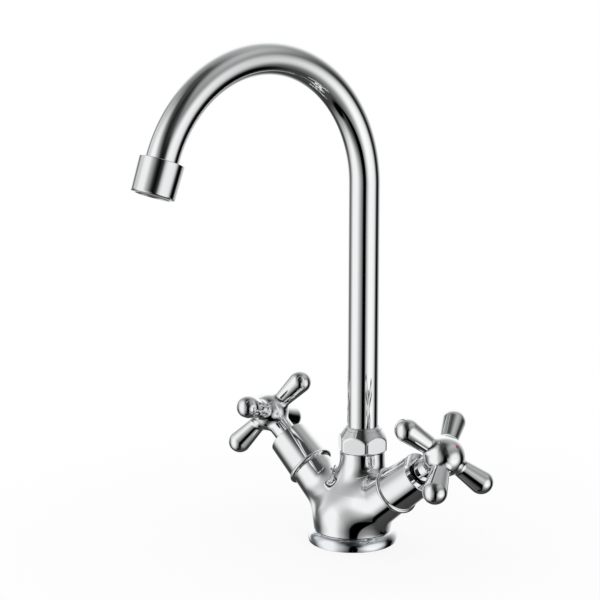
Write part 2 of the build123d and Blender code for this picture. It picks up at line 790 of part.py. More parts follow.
def handle_arm():
    """One club-shaped arm on local X: a cone that runs tangent into a round bulb."""
    bulb = handle_bulb_diameter / 2
    root = handle_arm_root_diameter / 2
    root_reach = sqrt((hub_diameter / 2) ** 2 - root ** 2)
    run = handle_arm_reach - root_reach
    slope = asin(bulb / hypot(run, root)) - atan(root / run)
    touch = (handle_arm_reach - bulb * sin(slope), bulb * cos(slope))
    start_reach = root_reach - 4.0
    start_radius = touch[1] - (touch[0] - start_reach) * sin(slope) / cos(slope)
    tip = ThreePointArc(touch, (handle_arm_reach + bulb * sin(radians(45)),
                                bulb * cos(radians(45))), (handle_arm_reach + bulb, 0))
    rest = Polyline((handle_arm_reach + bulb, 0), (start_reach, 0), (start_reach, start_radius),
                    touch)
    return revolve(make_face([tip, rest]), Axis.X)


def cross_handle(side):
    """The cross handle: ball hub, stem and four clubs, with its screw and spindle holes."""
    hub = Pos(0, 0, hub_station) * Sphere(hub_diameter / 2)
    body = hub + rod(stem_diameter, stem_end, hub_station)
    arms = spread(handle_arm(), handle_arm_count, handle_rest_angles[side])
    for arm in arms:
        body += Pos(0, 0, hub_station) * arm
    body = body.fillet(handle_root_fillet, root_edges(body))
    socket = spindle_spline_diameter + 2 * assembly_clearance
    body -= rod(socket, stem_end - 1, spindle_top + free_clearance)
    body -= rod(circlip_diameter + 1, stem_end - 1, stem_end + 0.6)
    body -= rod(screw_diameter + 0.4, spindle_top, screw_seat() + 1)
    body -= rod(screw_well_diameter, screw_seat(), cap_seat + 1)
    body -= rod(cap_diameter, cap_seat, hub_station + hub_diameter)
    return body


def root_edges(body):
    """The edges where the stem and the arms leave the ball."""
    found = []
    for edge in body.edges():
        middle = edge @ 0.5
        reach = hypot(middle.X, middle.Y, middle.Z - hub_station)
        if abs(reach - hub_diameter / 2) < 0.01 and edge.geom_type == GeomType.CIRCLE:
            found.append(edge)
    return found


def index_cap():
    """The domed cap over the screw, flush with the ball."""
    ball = Pos(0, 0, hub_station) * Sphere(hub_diameter / 2)
    bottom = cap_seat + face_gap
    cap = ball & rod(cap_diameter - 2 * assembly_clearance, bottom, hub_station + hub_diameter)
    skirt = screw_well_diameter - 2 * assembly_clearance
    skirt_bottom = screw_seat() + screw_head_height + screw_top_room
    cap += ring(skirt - 2 * cap_skirt_wall, skirt, skirt_bottom, bottom + 1)
    top = hub_station + hub_diameter / 2
    return cap - rod(dot_diameter, top - dot_depth, top + 1)


def index_dot():
    """The coloured enamel dot at the centre of the cap."""
    ball = Pos(0, 0, hub_station) * Sphere(hub_diameter / 2)
    top = hub_station + hub_diameter / 2
    return ball & rod(dot_diameter - 2 * assembly_clearance, top - dot_depth + face_gap, top + 1)


def handle_screw():
    """The screw that holds the handle on its spindle, with a hexagon socket."""
    seat = screw_seat()
    screw = rod(screw_head_diameter, seat, seat + screw_head_height)
    screw += rod(screw_diameter, screw_tip(), seat + 1)
    return screw - hexagon(screw_socket, seat + 1, seat + screw_head_height + 1)


# ---------------------------------------------------------------- assembly

def fixed_nodes():
    """What stands still on the worktop, apart from the valves."""
    return {
        "body_casting": body_casting(),
        "base_ring": base_ring(),
        "base_gasket": base_gasket(),
        "spout_nut": spout_nut(),
        "nut_slip_washer": slip_washer(),
    }


def valve_nodes(side):
    """The valve, sleeve and handle of one side."""
    place = valve_place(side)
    turn = Rot(0, 0, handle_rest_angles[side])
    pieces = {
        "valve_bonnet": valve_bonnet(),
        "bonnet_gasket": bonnet_gasket(),
        "fixed_disc": fixed_disc(),
        "seat_seal": seat_seal(),
        "valve_sleeve": valve_sleeve(),
        "spindle": turn * spindle(),
        "spindle_orings": spindle_orings(),
        "spindle_circlip": turn * circlip(),
        "turning_disc": turning_disc(),
        "cross_handle": cross_handle(side),
        "handle_screw": turn * handle_screw(),
        "index_cap": index_cap(),
        "index_dot": index_dot(),
    }
    placed = {}
    for name, piece in pieces.items():
        if isinstance(piece, list):
            placed[f"{side}_{name}"] = [place * solid for solid in piece]
        else:
            placed[f"{side}_{name}"] = place * piece
    return placed


def spout_nodes():
    """What turns with the spout."""
    turn = spout_turn()
    pieces = {
        "spout_tube": spout_tube(),
        "swivel_bush": swivel_bush(),
        "spout_split_ring": split_ring(),
        "outlet_bush": outlet_bush(),
        "aerator_washer": aerator_washer(),
        "aerator_insert": aerator_insert(),
        "aerator_screen": aerator_screen(),
        "aerator_housing": aerator_housing(),
    }
    placed = {name: turn * piece for name, piece in pieces.items()}
    placed["spout_orings"] = [turn * seal for seal in spout_orings()]
    return placed


def write(name, piece):
    """Writes one node; a list of solids becomes one file with separate solids."""
    solids = piece if isinstance(piece, list) else [piece]
    whole = Compound(children=[Compound(solid.solids()) for solid in solids])
    whole.label = name
    export_step(whole, f"parts/{name}.step")


os.makedirs("parts", exist_ok=True)
nodes = fixed_nodes()
for side in sides:
    nodes.update(valve_nodes(side))
nodes.update(spout_nodes())
for name, piece in nodes.items():
    write(name, piece)
print(len(nodes), "nodes written")
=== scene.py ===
"""Looks of a two handle kitchen mixer tap, built round its packed construction model.

Sizes in the classes are in millimetres, as on a workshop drawing. Meshes are made in metres.
"""

import json
import logging
import math
from collections.abc import Callable, Sequence
from dataclasses import dataclass
from enum import Enum

import bpy
import numpy as np
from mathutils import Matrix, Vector


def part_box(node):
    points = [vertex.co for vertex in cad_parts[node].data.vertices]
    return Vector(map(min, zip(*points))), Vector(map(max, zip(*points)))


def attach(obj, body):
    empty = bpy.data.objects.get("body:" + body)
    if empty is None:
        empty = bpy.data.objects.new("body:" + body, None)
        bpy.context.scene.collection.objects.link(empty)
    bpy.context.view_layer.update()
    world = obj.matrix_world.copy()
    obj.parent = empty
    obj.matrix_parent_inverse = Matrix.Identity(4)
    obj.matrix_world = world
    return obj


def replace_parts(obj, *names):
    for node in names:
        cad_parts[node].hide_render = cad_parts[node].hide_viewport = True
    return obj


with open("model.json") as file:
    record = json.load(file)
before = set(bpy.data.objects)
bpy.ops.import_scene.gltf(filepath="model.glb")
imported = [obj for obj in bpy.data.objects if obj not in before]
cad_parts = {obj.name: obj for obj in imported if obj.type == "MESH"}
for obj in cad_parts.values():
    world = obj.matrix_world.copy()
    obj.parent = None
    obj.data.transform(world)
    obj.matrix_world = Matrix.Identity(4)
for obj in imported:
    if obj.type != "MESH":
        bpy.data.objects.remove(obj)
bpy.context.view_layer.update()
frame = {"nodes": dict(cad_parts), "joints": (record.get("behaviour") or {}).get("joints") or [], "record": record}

MM = 0.001
FAR = 99.0  # millimetres, past every surface: where a cut or a bore has no end of its own
WHITE = (1, 1, 1, 1)
Field = Callable[[np.ndarray], np.ndarray]
LOG = logging.getLogger("tap")


# ------------------------------------------------------------------ places


@dataclass(frozen=True)
class Place:
    """A local frame on the tap: an origin in millimetres and the three axes as rows."""

    origin: np.ndarray
    axes: np.ndarray

    @classmethod
    def on_joint(cls, name: str) -> "Place":
        """Makes the frame of a joint, with local Z along its axis and local Y level.

        Args:
            name: The joint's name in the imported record.

        Returns:
            The frame at the joint's point.
        """
        joint = next(j for j in frame["joints"] if j["name"] == name)
        along = np.array(joint["axis"], float)
        along /= np.linalg.norm(along)
        across = np.array([0.0, 1.0, 0.0])
        origin = np.array(joint["pos_m"], float) / MM
        return cls(origin, np.array([np.cross(across, along), across, along]))

    def moved(self, along: float) -> "Place":
        """The same frame with its origin moved along local Z."""
        return Place(self.origin + along * self.axes[2], self.axes)

    def turned(self, degrees: float) -> "Place":
        """The same frame turned about its local Z.

        Args:
            degrees: How far, from local X towards local Y.

        Returns:
            The turned frame.
        """
        c, s = math.cos(math.radians(degrees)), math.sin(math.radians(degrees))
        x, y, z = self.axes
        return Place(self.origin, np.array([c * x + s * y, c * y - s * x, z]))

    def out(self, points: np.ndarray) -> np.ndarray:
        """Local points as points on the tap."""
        return self.origin + points @ self.axes

    def into(self, points: np.ndarray) -> np.ndarray:
        """Points on the tap as local points."""
        return (points - self.origin) @ self.axes.T


GROUND = Place(np.zeros(3), np.eye(3))


@dataclass(frozen=True)
class ValveAxis:
    """The sloping axis of one side's valve."""

    side: str
    hub_station: float = 96.5

    def hub(self) -> Place:
        """The frame at the handle's hub, with local Z outwards."""
        return Place.on_joint(f"{self.side}_handle_turn")

    def crossing(self) -> Place:
        """The same frame moved down to where the two valve axes cross."""
        return self.hub().moved(-self.hub_station)


# ------------------------------------------------------------------ meshes


def make_object(name: str, points: np.ndarray, faces: Sequence[Sequence[int]],
                normals: np.ndarray | None = None,
                corner_normals: np.ndarray | None = None) -> bpy.types.Object:
    """Makes a smooth-shaded object at the origin.

    Args:
        name: The piece's name.
        points: Vertices in millimetres.
        faces: Vertex numbers of each face.
        normals: One outward normal per vertex, or None.
        corner_normals: One outward normal per corner of each face, or None.

    Returns:
        The linked object.
    """
    mesh = bpy.data.meshes.new(name)
    mesh.from_pydata((points * MM).tolist(), [], faces)
    mesh.update()
    mesh.polygons.foreach_set("use_smooth", np.ones(len(mesh.polygons), bool))
    if normals is not None:
        mesh.normals_split_custom_set_from_vertices(normals.tolist())
    if corner_normals is not None:
        mesh.normals_split_custom_set(corner_normals.tolist())
    piece = bpy.data.objects.new(name, mesh)
    bpy.context.scene.collection.objects.link(piece)
    return piece


@dataclass(frozen=True)
class Corner:
    """One corner of a turned outline; before and after are the ways that a curve faces there."""

    radius: float
    height: float
    rounding: float = 0.0
    before: float | None = None
    after: float | None = None


def bead(centre: tuple[float, float], radius: float, start: float, end: float,
         steps: int = 32) -> list[Corner]:
    """Corners along a convex round of a turned outline.

    Args:
        centre: Radius and height of the round's centre, in millimetres.
        radius: The round's own radius.
        start: Where the round starts, in degrees from outwards towards up.
        end: Where it ends.
        steps: How many chords it has.

    Returns:
        The corners, each with the way that the round faces there.
    """
    corners = []
    for angle in np.linspace(start, end, steps + 1):
        turn = math.radians(angle)
        corners.append(Corner(centre[0] + radius * math.cos(turn),
                              centre[1] + radius * math.sin(turn),
                              before=None if angle == start else float(angle),
                              after=None if angle == end else float(angle)))
    return corners


@dataclass(frozen=True)
class Turning:
    """A piece turned on a lathe: an outline swept round local Z."""

    outline: Sequence[Corner]
    segments: int = 192
    arc_steps: int = 8
    side_share: float = 0.49

    @staticmethod
    def facing(angle: float | None, plain: np.ndarray) -> np.ndarray:
        """The normal at an angle in degrees, or the plain one where there is no angle.

        Args:
            angle: The way that a curve faces, or None.
            plain: The normal of the straight side.

        Returns:
            The normal's parts along the radius and the height.
        """
        if angle is None:
            return plain
        return np.array([math.cos(math.radians(angle)), math.sin(math.radians(angle))])

    def rounded_outline(self) -> tuple[np.ndarray, np.ndarray, np.ndarray]:
        """Rounds the outline's corners.

        Returns:
            The outline's points, and the outward normals before and after each point.
        """
        corners = [np.array([c.radius, c.height]) for c in self.outline]
        points, before, after = [], [], []
        for number, (corner, here) in enumerate(zip(self.outline, corners)):
            back = corners[number - 1] - here
            ahead = corners[(number + 1) % len(corners)] - here
            back_run, ahead_run = np.linalg.norm(back), np.linalg.norm(ahead)
            back, ahead = back / back_run, ahead / ahead_run
            normal_in = self.facing(corner.before, np.array([-back[1], back[0]]))
            normal_out = self.facing(corner.after, np.array([ahead[1], -ahead[0]]))
            sweep = math.acos(max(-1.0, min(1.0, float(normal_in @ normal_out))))
            room = self.side_share * min(back_run, ahead_run) / max(math.tan(sweep / 2), 1e-6)
            rounding = min(corner.rounding, room)
            if rounding < 1e-6 or sweep < 1e-3:
                points.append(here)
                before.append(normal_in)
                after.append(normal_out)
                continue
            middle = (back + ahead) / np.linalg.norm(back + ahead)
            centre = here + middle * rounding / math.cos(sweep / 2)
            side = -1.0 if float(normal_in @ middle) > 0 else 1.0
            for step in range(self.arc_steps + 1):
                share = step / self.arc_steps
                normal = (math.sin((1 - share) * sweep) * normal_in
                          + math.sin(share * sweep) * normal_out) / math.sin(sweep)
                points.append(centre + side * rounding * normal)
                before.append(normal)
                after.append(normal)
        return np.array(points), np.array(before), np.array(after)

    def build(self, name: str, place: Place) -> bpy.types.Object:
        """Sweeps the outline round local Z; the outline runs with the solid on its left.

        Args:
            name: The piece's name.
            place: Where its local frame is.

        Returns:
            The finished object.
        """
        outline, before, after = self.rounded_outline()
        angles = np.arange(self.segments) * 2 * math.pi / self.segments
        circle = np.stack([np.cos(angles), np.sin(angles)], axis=1)
        rings, starts = [], []
        for radius, height in outline:
            spokes = circle if radius > 1e-6 else circle[:1] * 0
            starts.append(sum(len(r) for r in rings))
            rings.append(np.column_stack([spokes * radius, np.full(len(spokes), height)]))
        faces, normals = [], []
        for ring in range(len(outline)):
            following = (ring + 1) % len(outline)
            sizes = len(rings[ring]), len(rings[following])
            if sizes == (1, 1):
                continue
            for spoke in range(self.segments):
                turn = (spoke + 1) % self.segments
                face = [(ring, spoke, after), (ring, turn, after), (following, turn, before),
                        (following, spoke, before)]
                if sizes[0] == 1:
                    face.pop(0)
                if sizes[1] == 1:
                    face.pop(2)
                faces.append([starts[r] + (s if len(rings[r]) > 1 else 0) for r, s, _ in face])
                for r, s, side in face:
                    spread, lift = side[r]
                    normals.append((*(circle[s] * spread), lift))
        points = place.out(np.concatenate(rings))
        return make_object(name, points, faces, corner_normals=np.array(normals) @ place.axes)


@dataclass(frozen=True)
class FieldMesher:
    """Turns a distance field into an even mesh, with its vertices on the surface itself."""

    step: float
    settle_rounds: int = 5
    longest_push: float = 0.5
    least_slope: float = 0.05
    probe: float = 0.004

    def build(self, name: str, field: Field, low: Sequence[float], high: Sequence[float],
              place: Place = GROUND) -> bpy.types.Object:
        """Meshes the surface where the field is zero.

        Args:
            name: The piece's name.
            field: Distance in millimetres at local points, negative inside.
            low: The lowest corner of the searched box.
            high: The highest corner of the searched box.
            place: Where the local frame is.

        Returns:
            The finished object.
        """
        lines = [np.arange(a, b + self.step, self.step) for a, b in zip(low, high)]
        values = self.sample(field, lines)
        points, numbers = self.cell_points(values, lines)
        faces = self.faces(values < 0, numbers)
        for _ in range(self.settle_rounds):
            slope = self.slope(field, points)
            steepness = np.maximum((slope ** 2).sum(1), self.least_slope)
            push = field(points)[:, None] * slope / steepness[:, None]
            length = np.maximum(np.linalg.norm(push, axis=1, keepdims=True), 1e-12)
            points = points - push * np.minimum(1.0, self.longest_push * self.step / length)
        slope = self.slope(field, points)
        slope /= np.maximum(np.linalg.norm(slope, axis=1, keepdims=True), 1e-9)
        return make_object(name, place.out(points), faces.tolist(), slope @ place.axes)

    def sample(self, field: Field, lines: Sequence[np.ndarray]) -> np.ndarray:
        """The field's values on the grid, one slice of X at a time.

        Args:
            field: Distance in millimetres at local points, negative inside.
            lines: The grid's coordinates along each axis.

        Returns:
            The values, by place on each axis.
        """
        across, up = np.meshgrid(lines[1], lines[2], indexing="ij")
        level = np.column_stack([np.zeros(across.size), across.ravel(), up.ravel()])
        values = np.empty((len(lines[0]), *across.shape))
        for number, x in enumerate(lines[0]):
            level[:, 0] = x
            values[number] = field(level).reshape(across.shape)
        return values

    def cell_points(self, values: np.ndarray,
                    lines: Sequence[np.ndarray]) -> tuple[np.ndarray, np.ndarray]:
        """One point in each cell that the surface crosses.

        Args:
            values: The field on the grid.
            lines: The grid's coordinates along each axis.

        Returns:
            The points, and for each cell the number of its point or -1.
        """
        inside = values < 0
        shape = tuple(n - 1 for n in values.shape)
        filled = np.zeros(shape, np.int8)
        for i, j, k in np.ndindex(2, 2, 2):
            filled += inside[i:i + shape[0], j:j + shape[1], k:k + shape[2]]
        cells = np.argwhere((filled > 0) & (filled < 8))
        total, crossings = np.zeros((len(cells), 3)), np.zeros(len(cells))
        for axis in range(3):
            for i, j in np.ndindex(2, 2):
                start = np.insert([i, j], axis, 0)
                end = np.insert([i, j], axis, 1)
                first = values[tuple((cells + start).T)]
                second = values[tuple((cells + end).T)]
                crossed = (first < 0) != (second < 0)
                share = np.where(crossed, first / np.where(crossed, first - second, 1.0), 0.0)
                spot = start + share[:, None] * (end - start)
                total += np.where(crossed[:, None], spot, 0.0)
                crossings += crossed
        points = np.array([line[0] for line in lines]) + self.step * (
            cells + total / crossings[:, None])
        numbers = np.full(shape, -1, np.int64)
        numbers[tuple(cells.T)] = np.arange(len(cells))
        return points, numbers

    def faces(self, inside: np.ndarray, numbers: np.ndarray) -> np.ndarray:
        """A four-sided face across each grid line that passes through the surface.

        Args:
            inside: Which points of the grid are inside.
            numbers: For each cell the number of its point or -1.

        Returns:
            Four vertex numbers for each face, which looks outwards.
        """
        found = []
        for axis in range(3):
            second, third = (axis + 1) % 3, (axis + 2) % 3
            start = np.moveaxis(inside, axis, 0)[:-1]
            end = np.moveaxis(inside, axis, 0)[1:]
            spots = np.argwhere(np.moveaxis(start != end, 0, axis))
            room = (spots[:, second] > 0) & (spots[:, third] > 0)
            room &= spots[:, second] < numbers.shape[second]
            room &= spots[:, third] < numbers.shape[third]
            spots = spots[room]
            quad = []
            for back_second, back_third in ((1, 1), (0, 1), (0, 0), (1, 0)):
                cell = spots.copy()
                cell[:, second] -= back_second
                cell[:, third] -= back_third
                quad.append(numbers[tuple(cell.T)])
            quad = np.stack(quad, axis=1)
            leaving = inside[tuple(spots.T)]
            quad[~leaving] = quad[~leaving][:, ::-1]
            found.append(quad[(quad >= 0).all(1)])
        return np.concatenate(found)

    def slope(self, field: Field, points: np.ndarray) -> np.ndarray:
        """The field's gradient at the points.

        Args:
            field: Distance in millimetres at local points, negative inside.
            points: The points, in millimetres.

        Returns:
            One gradient per point.
        """
        slope = np.empty_like(points)
        for axis in range(3):
            shift = np.zeros(3)
            shift[axis] = self.probe
            slope[:, axis] = (field(points + shift) - field(points - shift)) / (2 * self.probe)
        return slope


def meet(first: np.ndarray, second: np.ndarray, reach: float | np.ndarray) -> np.ndarray:
    """The union of two fields, blended over the given reach."""
    share = np.clip(0.5 + 0.5 * (second - first) / reach, 0.0, 1.0)
    return second + (first - second) * share - reach * share * (1 - share)


def overlap(first: np.ndarray, second: np.ndarray, reach: float) -> np.ndarray:
    """The part that two fields share, with the edge rounded over the given reach."""
    return -meet(-first, -second, reach)


def bar(points: np.ndarray, diameter: float, low: float, high: float) -> np.ndarray:
    """The field of a round bar on local Z."""
    side = np.hypot(points[:, 0], points[:, 1]) - diameter / 2
    return np.maximum(side, np.maximum(low - points[:, 2], points[:, 2] - high))


@dataclass(frozen=True)
class Sweep:
    """A curve through stations, level at both ends, whose bend has no breaks."""

    stations: tuple[float, ...]
    values: tuple[float, ...]

    def slopes(self) -> np.ndarray:
        """The slope at each station that makes the bend continuous.

        Returns:
            One slope per station, 0 at both ends.
        """
        step = np.diff(self.stations)
        rate = np.diff(self.values) / step
        system, wanted = np.eye(len(self.stations)), np.zeros(len(self.stations))
        for number in range(1, len(self.stations) - 1):
            back, ahead = step[number - 1], step[number]
            system[number, number - 1:number + 2] = ahead, 2 * (back + ahead), back
            wanted[number] = 3 * (ahead * rate[number - 1] + back * rate[number])
        return np.linalg.solve(system, wanted)

    def at(self, where: np.ndarray) -> tuple[np.ndarray, np.ndarray]:
        """The curve's values and slopes.

        Args:
            where: Positions along the stations; past the ends the curve stays level.

        Returns:
            The value and the slope at each position.
        """
        stations, values, slopes = np.array(self.stations), np.array(self.values), self.slopes()
        held = np.clip(where, stations[0], stations[-1])
        span = np.clip(np.searchsorted(stations, held) - 1, 0, len(stations) - 2)
        run = stations[span + 1] - stations[span]
        share = (held - stations[span]) / run
        rest = 1 - share
        climb = values[span + 1] - values[span]
        first, last = slopes[span] * run, slopes[span + 1] * run
        value = (values[span] + climb * share ** 2 * (3 - 2 * share)
                 + share * rest * (first * rest - last * share))
        slope = (6 * climb * share * rest + first * rest * (1 - 3 * share)
                 + last * share * (3 * share - 2)) / run
        return value, slope


# ------------------------------------------------------------------ finishes


class Wire:
    """One output socket, on which plain arithmetic adds Math nodes."""

    def __init__(self, tree: "Recipe", socket: bpy.types.NodeSocket) -> None:
        """Wraps a socket of the given recipe."""
        self.tree = tree
        self.socket = socket

    def _math(self, operation: str, *values: "Wire | float") -> "Wire":
        """Adds one Math node."""
        return self.tree.node("ShaderNodeMath", {"operation": operation},
                              dict(enumerate(values)))

    def __add__(self, other: "Wire | float") -> "Wire":
        """Sum."""
        return self._math("ADD", self, other)

    def __radd__(self, other: float) -> "Wire":
        """Sum with a number on the left."""
        return self._math("ADD", other, self)

    def __sub__(self, other: "Wire | float") -> "Wire":
        """Difference."""
        return self._math("SUBTRACT", self, other)

    def __rsub__(self, other: float) -> "Wire":
        """Difference from a number on the left."""
        return self._math("SUBTRACT", other, self)

    def __mul__(self, other: "Wire | float") -> "Wire":
        """Product."""
        return self._math("MULTIPLY", self, other)

    def __rmul__(self, other: float) -> "Wire":
        """Product with a number on the left."""
        return self._math("MULTIPLY", other, self)

    def __truediv__(self, other: "Wire | float") -> "Wire":
        """Quotient."""
        return self._math("DIVIDE", self, other)

    def __mod__(self, other: "Wire | float") -> "Wire":
        """Remainder, never negative."""
        return self._math("FLOORED_MODULO", self, other)

    def floor(self) -> "Wire":
        """The whole number below."""
        return self._math("FLOOR", self)

    def root(self) -> "Wire":
        """Square root."""
        return self._math("SQRT", self)

    def sine(self) -> "Wire":
        """Sine of an angle in radians."""
        return self._math("SINE", self)

    def cosine(self) -> "Wire":
        """Cosine of an angle in radians."""
        return self._math("COSINE", self)

    def arcsine(self) -> "Wire":
        """The angle in radians that has this sine."""
        return self._math("ARCSINE", self)

    def bearing(self, other: "Wire | float") -> "Wire":
        """The angle in radians of the point that lies this far up and the other value across."""
        return self._math("ARCTAN2", self, other)

    def least(self, other: "Wire | float") -> "Wire":
        """The smaller value."""
        return self._math("MINIMUM", self, other)

    def most(self, other: "Wire | float") -> "Wire":
        """The larger value."""
        return self._math("MAXIMUM", self, other)


class Recipe:
    """A shader tree that is written as expressions."""

    def __init__(self, tree: bpy.types.NodeTree) -> None:
        """Empties the tree."""
        self.tree = tree
        self.tree.nodes.clear()

    def node(self, kind: str, settings: dict[str, object] | None = None,
             inputs: dict[int | str, object] | None = None, output: int | str = 0) -> Wire:
        """Adds a node.

        Args:
            kind: Blender's node type.
            settings: Properties of the node, which are set first.
            inputs: Values or wires by socket number or name.
            output: The output socket that is returned.

        Returns:
            The chosen output as a wire.
        """
        made = self.tree.nodes.new(kind)
        for name, value in (settings or {}).items():
            setattr(made, name, value)
        for name, value in (inputs or {}).items():
            if isinstance(value, Wire):
                self.tree.links.new(value.socket, made.inputs[name])
            else:
                made.inputs[name].default_value = value
        return Wire(self, made.outputs[output])

    def coordinates(self, stretch: Sequence[float] = (1, 1, 1)) -> Wire:
        """Object coordinates, stretched along the axes."""
        plain = self.node("ShaderNodeTexCoord", output="Object")
        return self.node("ShaderNodeMapping", {}, {"Vector": plain, "Scale": tuple(stretch)})

    def noise(self, vector: Wire, scale: float, detail: float = 3.0,
              roughness: float = 0.55) -> Wire:
        """A noise between 0 and 1."""
        return self.node("ShaderNodeTexNoise", {}, {
            "Vector": vector, "Scale": scale, "Detail": detail, "Roughness": roughness})

    def between(self, share: Wire, low: Sequence[float], high: Sequence[float]) -> Wire:
        """A colour between two others."""
        return self.node("ShaderNodeMix", {"data_type": "RGBA"}, {
            0: share, 6: (*low, 1), 7: (*high, 1)}, output=2)

    def bump(self, height: Wire, depth: float, strength: float = 1.0) -> Wire:
        """A normal that follows a height; depth is in metres."""
        return self.node("ShaderNodeBump", {}, {
            "Height": height, "Distance": depth, "Strength": strength}, output="Normal")

    def surface(self, **inputs: object) -> None:
        """Ends the tree in one Principled shader with the given sockets.

        Args:
            inputs: Values or wires by socket name, with _ for each space.
        """
        named = {name.replace("_", " "): value for name, value in inputs.items()}
        shader = self.node("ShaderNodeBsdfPrincipled", {}, named, output="BSDF")
        self.node_output(shader)

    def node_output(self, shader: Wire, kind: str = "ShaderNodeOutputMaterial") -> None:
        """Links a shader to the tree's output."""
        made = self.tree.nodes.new(kind)
        self.tree.links.new(shader.socket, made.inputs["Surface"])


def new_material(name: str) -> tuple[bpy.types.Material, Recipe]:
    """An empty node material and its recipe.

    Args:
        name: The material's name.

    Returns:
        The material, and the recipe that fills its tree.
    """
    material = bpy.data.materials.new(name)
    material.use_nodes = True
    return material, Recipe(material.node_tree)


class Growth:
    """A geometry node tree with named sizes, whose result is kept as a plain mesh."""

    def __init__(self, name: str, **sizes: str) -> None:
        """Makes the tree.

        Args:
            name: The tree's name.
            sizes: For each named size, "Float" or "Int".
        """
        self.tree = bpy.data.node_groups.new(name, "GeometryNodeTree")
        self.recipe = Recipe(self.tree)
        for size, kind in {**sizes, "Finish": "Material"}.items():
            self.tree.interface.new_socket(size, in_out="INPUT", socket_type=f"NodeSocket{kind}")
        self.tree.interface.new_socket("Result", in_out="OUTPUT",
                                       socket_type="NodeSocketGeometry")
        given = self.tree.nodes.new("NodeGroupInput")
        self.size = {s.name: Wire(self.recipe, s) for s in given.outputs if s.name}

    def close(self, shape: Wire) -> None:
        """Ends the tree with plain geometry in the named finish.

        Args:
            shape: The geometry that the tree has made.
        """
        shape = self.recipe.node("GeometryNodeRealizeInstances", {}, {"Geometry": shape})
        shape = self.recipe.node("GeometryNodeSetMaterial", {}, {
            "Geometry": shape, "Material": self.size["Finish"]})
        result = self.tree.nodes.new("NodeGroupOutput")
        self.tree.links.new(shape.socket, result.inputs[0])

    def make(self, name: str, place: Place, wall: float = 0.0,
             **values: object) -> bpy.types.Object:
        """Runs the tree.

        Args:
            name: The piece's name.
            place: Where the tree's own frame is.
            wall: Thickness that the shape gets inwards, in millimetres.
            values: The value of each named size.

        Returns:
            The piece, as a plain mesh.
        """
        holder = bpy.data.objects.new(name, bpy.data.meshes.new(name))
        bpy.context.scene.collection.objects.link(holder)
        grown = holder.modifiers.new("grown", "NODES")
        grown.node_group = self.tree
        for item in self.tree.interface.items_tree:
            if item.name in values:
                grown[item.identifier] = values[item.name]
        if wall:
            thick = holder.modifiers.new("wall", "SOLIDIFY")
            thick.thickness, thick.offset = wall * MM, -1.0
        bpy.context.view_layer.update()
        graph = bpy.context.evaluated_depsgraph_get()
        mesh = bpy.data.meshes.new_from_object(holder.evaluated_get(graph))
        bpy.data.objects.remove(holder)
        points = np.empty(len(mesh.vertices) * 3)
        mesh.vertices.foreach_get("co", points)
        points = place.out(points.reshape(-1, 3) / MM) * MM
        mesh.vertices.foreach_set("co", points.ravel())
        mesh.update()
        mesh.name = name
        piece = bpy.data.objects.new(name, mesh)
        bpy.context.scene.collection.objects.link(piece)
        return piece


@dataclass(frozen=True)
class ChromeFinish:
    """Polished chromium plate: a mirror with the faint swell and haze of the polished metal."""

    name: str
    tint: tuple[float, float, float] = (0.98, 0.985, 0.99)
    shade: tuple[float, float, float] = (0.95, 0.956, 0.966)
    roughness: float = 0.018
    haze: float = 0.03
    swell_size: float = 60.0
    swell_depth: float = 0.00003
    lines: tuple[float, float, float] = (1.0, 1.0, 1.0)
    cloud_size: float = 35.0
    clear_share: float = 0.35
    mark_size: float = 900.0
    mark_haze: float = 0.012

    def make(self) -> bpy.types.Material:
        """Builds the material.

        Returns:
            The material, ready to be given to a piece.
        """
        material, recipe = new_material(self.name)
        plain = recipe.coordinates()
        cloud = recipe.noise(plain, self.cloud_size, detail=4.0)
        marks = recipe.noise(recipe.coordinates(self.lines), self.mark_size, detail=2.0)
        swell = recipe.noise(plain, self.swell_size, detail=1.0)
        tone = recipe.between(cloud, self.shade, self.tint)
        clouds = self.haze * (cloud - self.clear_share).most(0.0)
        recipe.surface(Base_Color=tone, Metallic=1.0,
                       Roughness=self.roughness + clouds + self.mark_haze * marks,
                       Normal=recipe.bump(swell, self.swell_depth))
        return material


@dataclass(frozen=True)
class MetalFinish:
    """Unplated turned metal with tool lines and dull patches."""

    name: str
    bright: tuple[float, float, float]
    dull: tuple[float, float, float]
    roughness: float = 0.28
    tarnish: float = 0.25
    patch_size: float = 120.0
    line_size: float = 700.0
    lines: tuple[float, float, float] = (1.0, 1.0, 14.0)
    line_depth: float = 0.00003

    def make(self) -> bpy.types.Material:
        """Builds the material.

        Returns:
            The material, ready to be given to a piece.
        """
        material, recipe = new_material(self.name)
        patches = recipe.noise(recipe.coordinates(), self.patch_size, detail=5.0)
        lines = recipe.noise(recipe.coordinates(self.lines), self.line_size, detail=2.0)
        recipe.surface(Base_Color=recipe.between(patches, self.dull, self.bright), Metallic=1.0,
                       Roughness=self.roughness + self.tarnish * patches * lines,
                       Normal=recipe.bump(lines, self.line_depth, strength=0.5))
        return material


@dataclass(frozen=True)
class PlainFinish:
    """A non-metal: moulded plastic, rubber, pressed fibre, ceramic or enamel."""

    name: str
    pale: tuple[float, float, float]
    deep: tuple[float, float, float]
    roughness: float
    grain: float = 400.0
    depth: float = 0.00002
    coat: float = 0.0
    patch_size: float = 90.0
    unevenness: float = 0.12

    def make(self) -> bpy.types.Material:
        """Builds the material.

        Returns:
            The material, ready to be given to a piece.
        """
        material, recipe = new_material(self.name)
        plain = recipe.coordinates()
        patches = recipe.noise(plain, self.patch_size, detail=4.0)
        grain = recipe.noise(plain, self.grain, detail=3.0)
        recipe.surface(Base_Color=recipe.between(patches, self.deep, self.pale),
                       Roughness=self.roughness + self.unevenness * (patches - 0.5),
                       Coat_Weight=self.coat,
                       Normal=recipe.bump(grain, self.depth, strength=0.6))
        return material


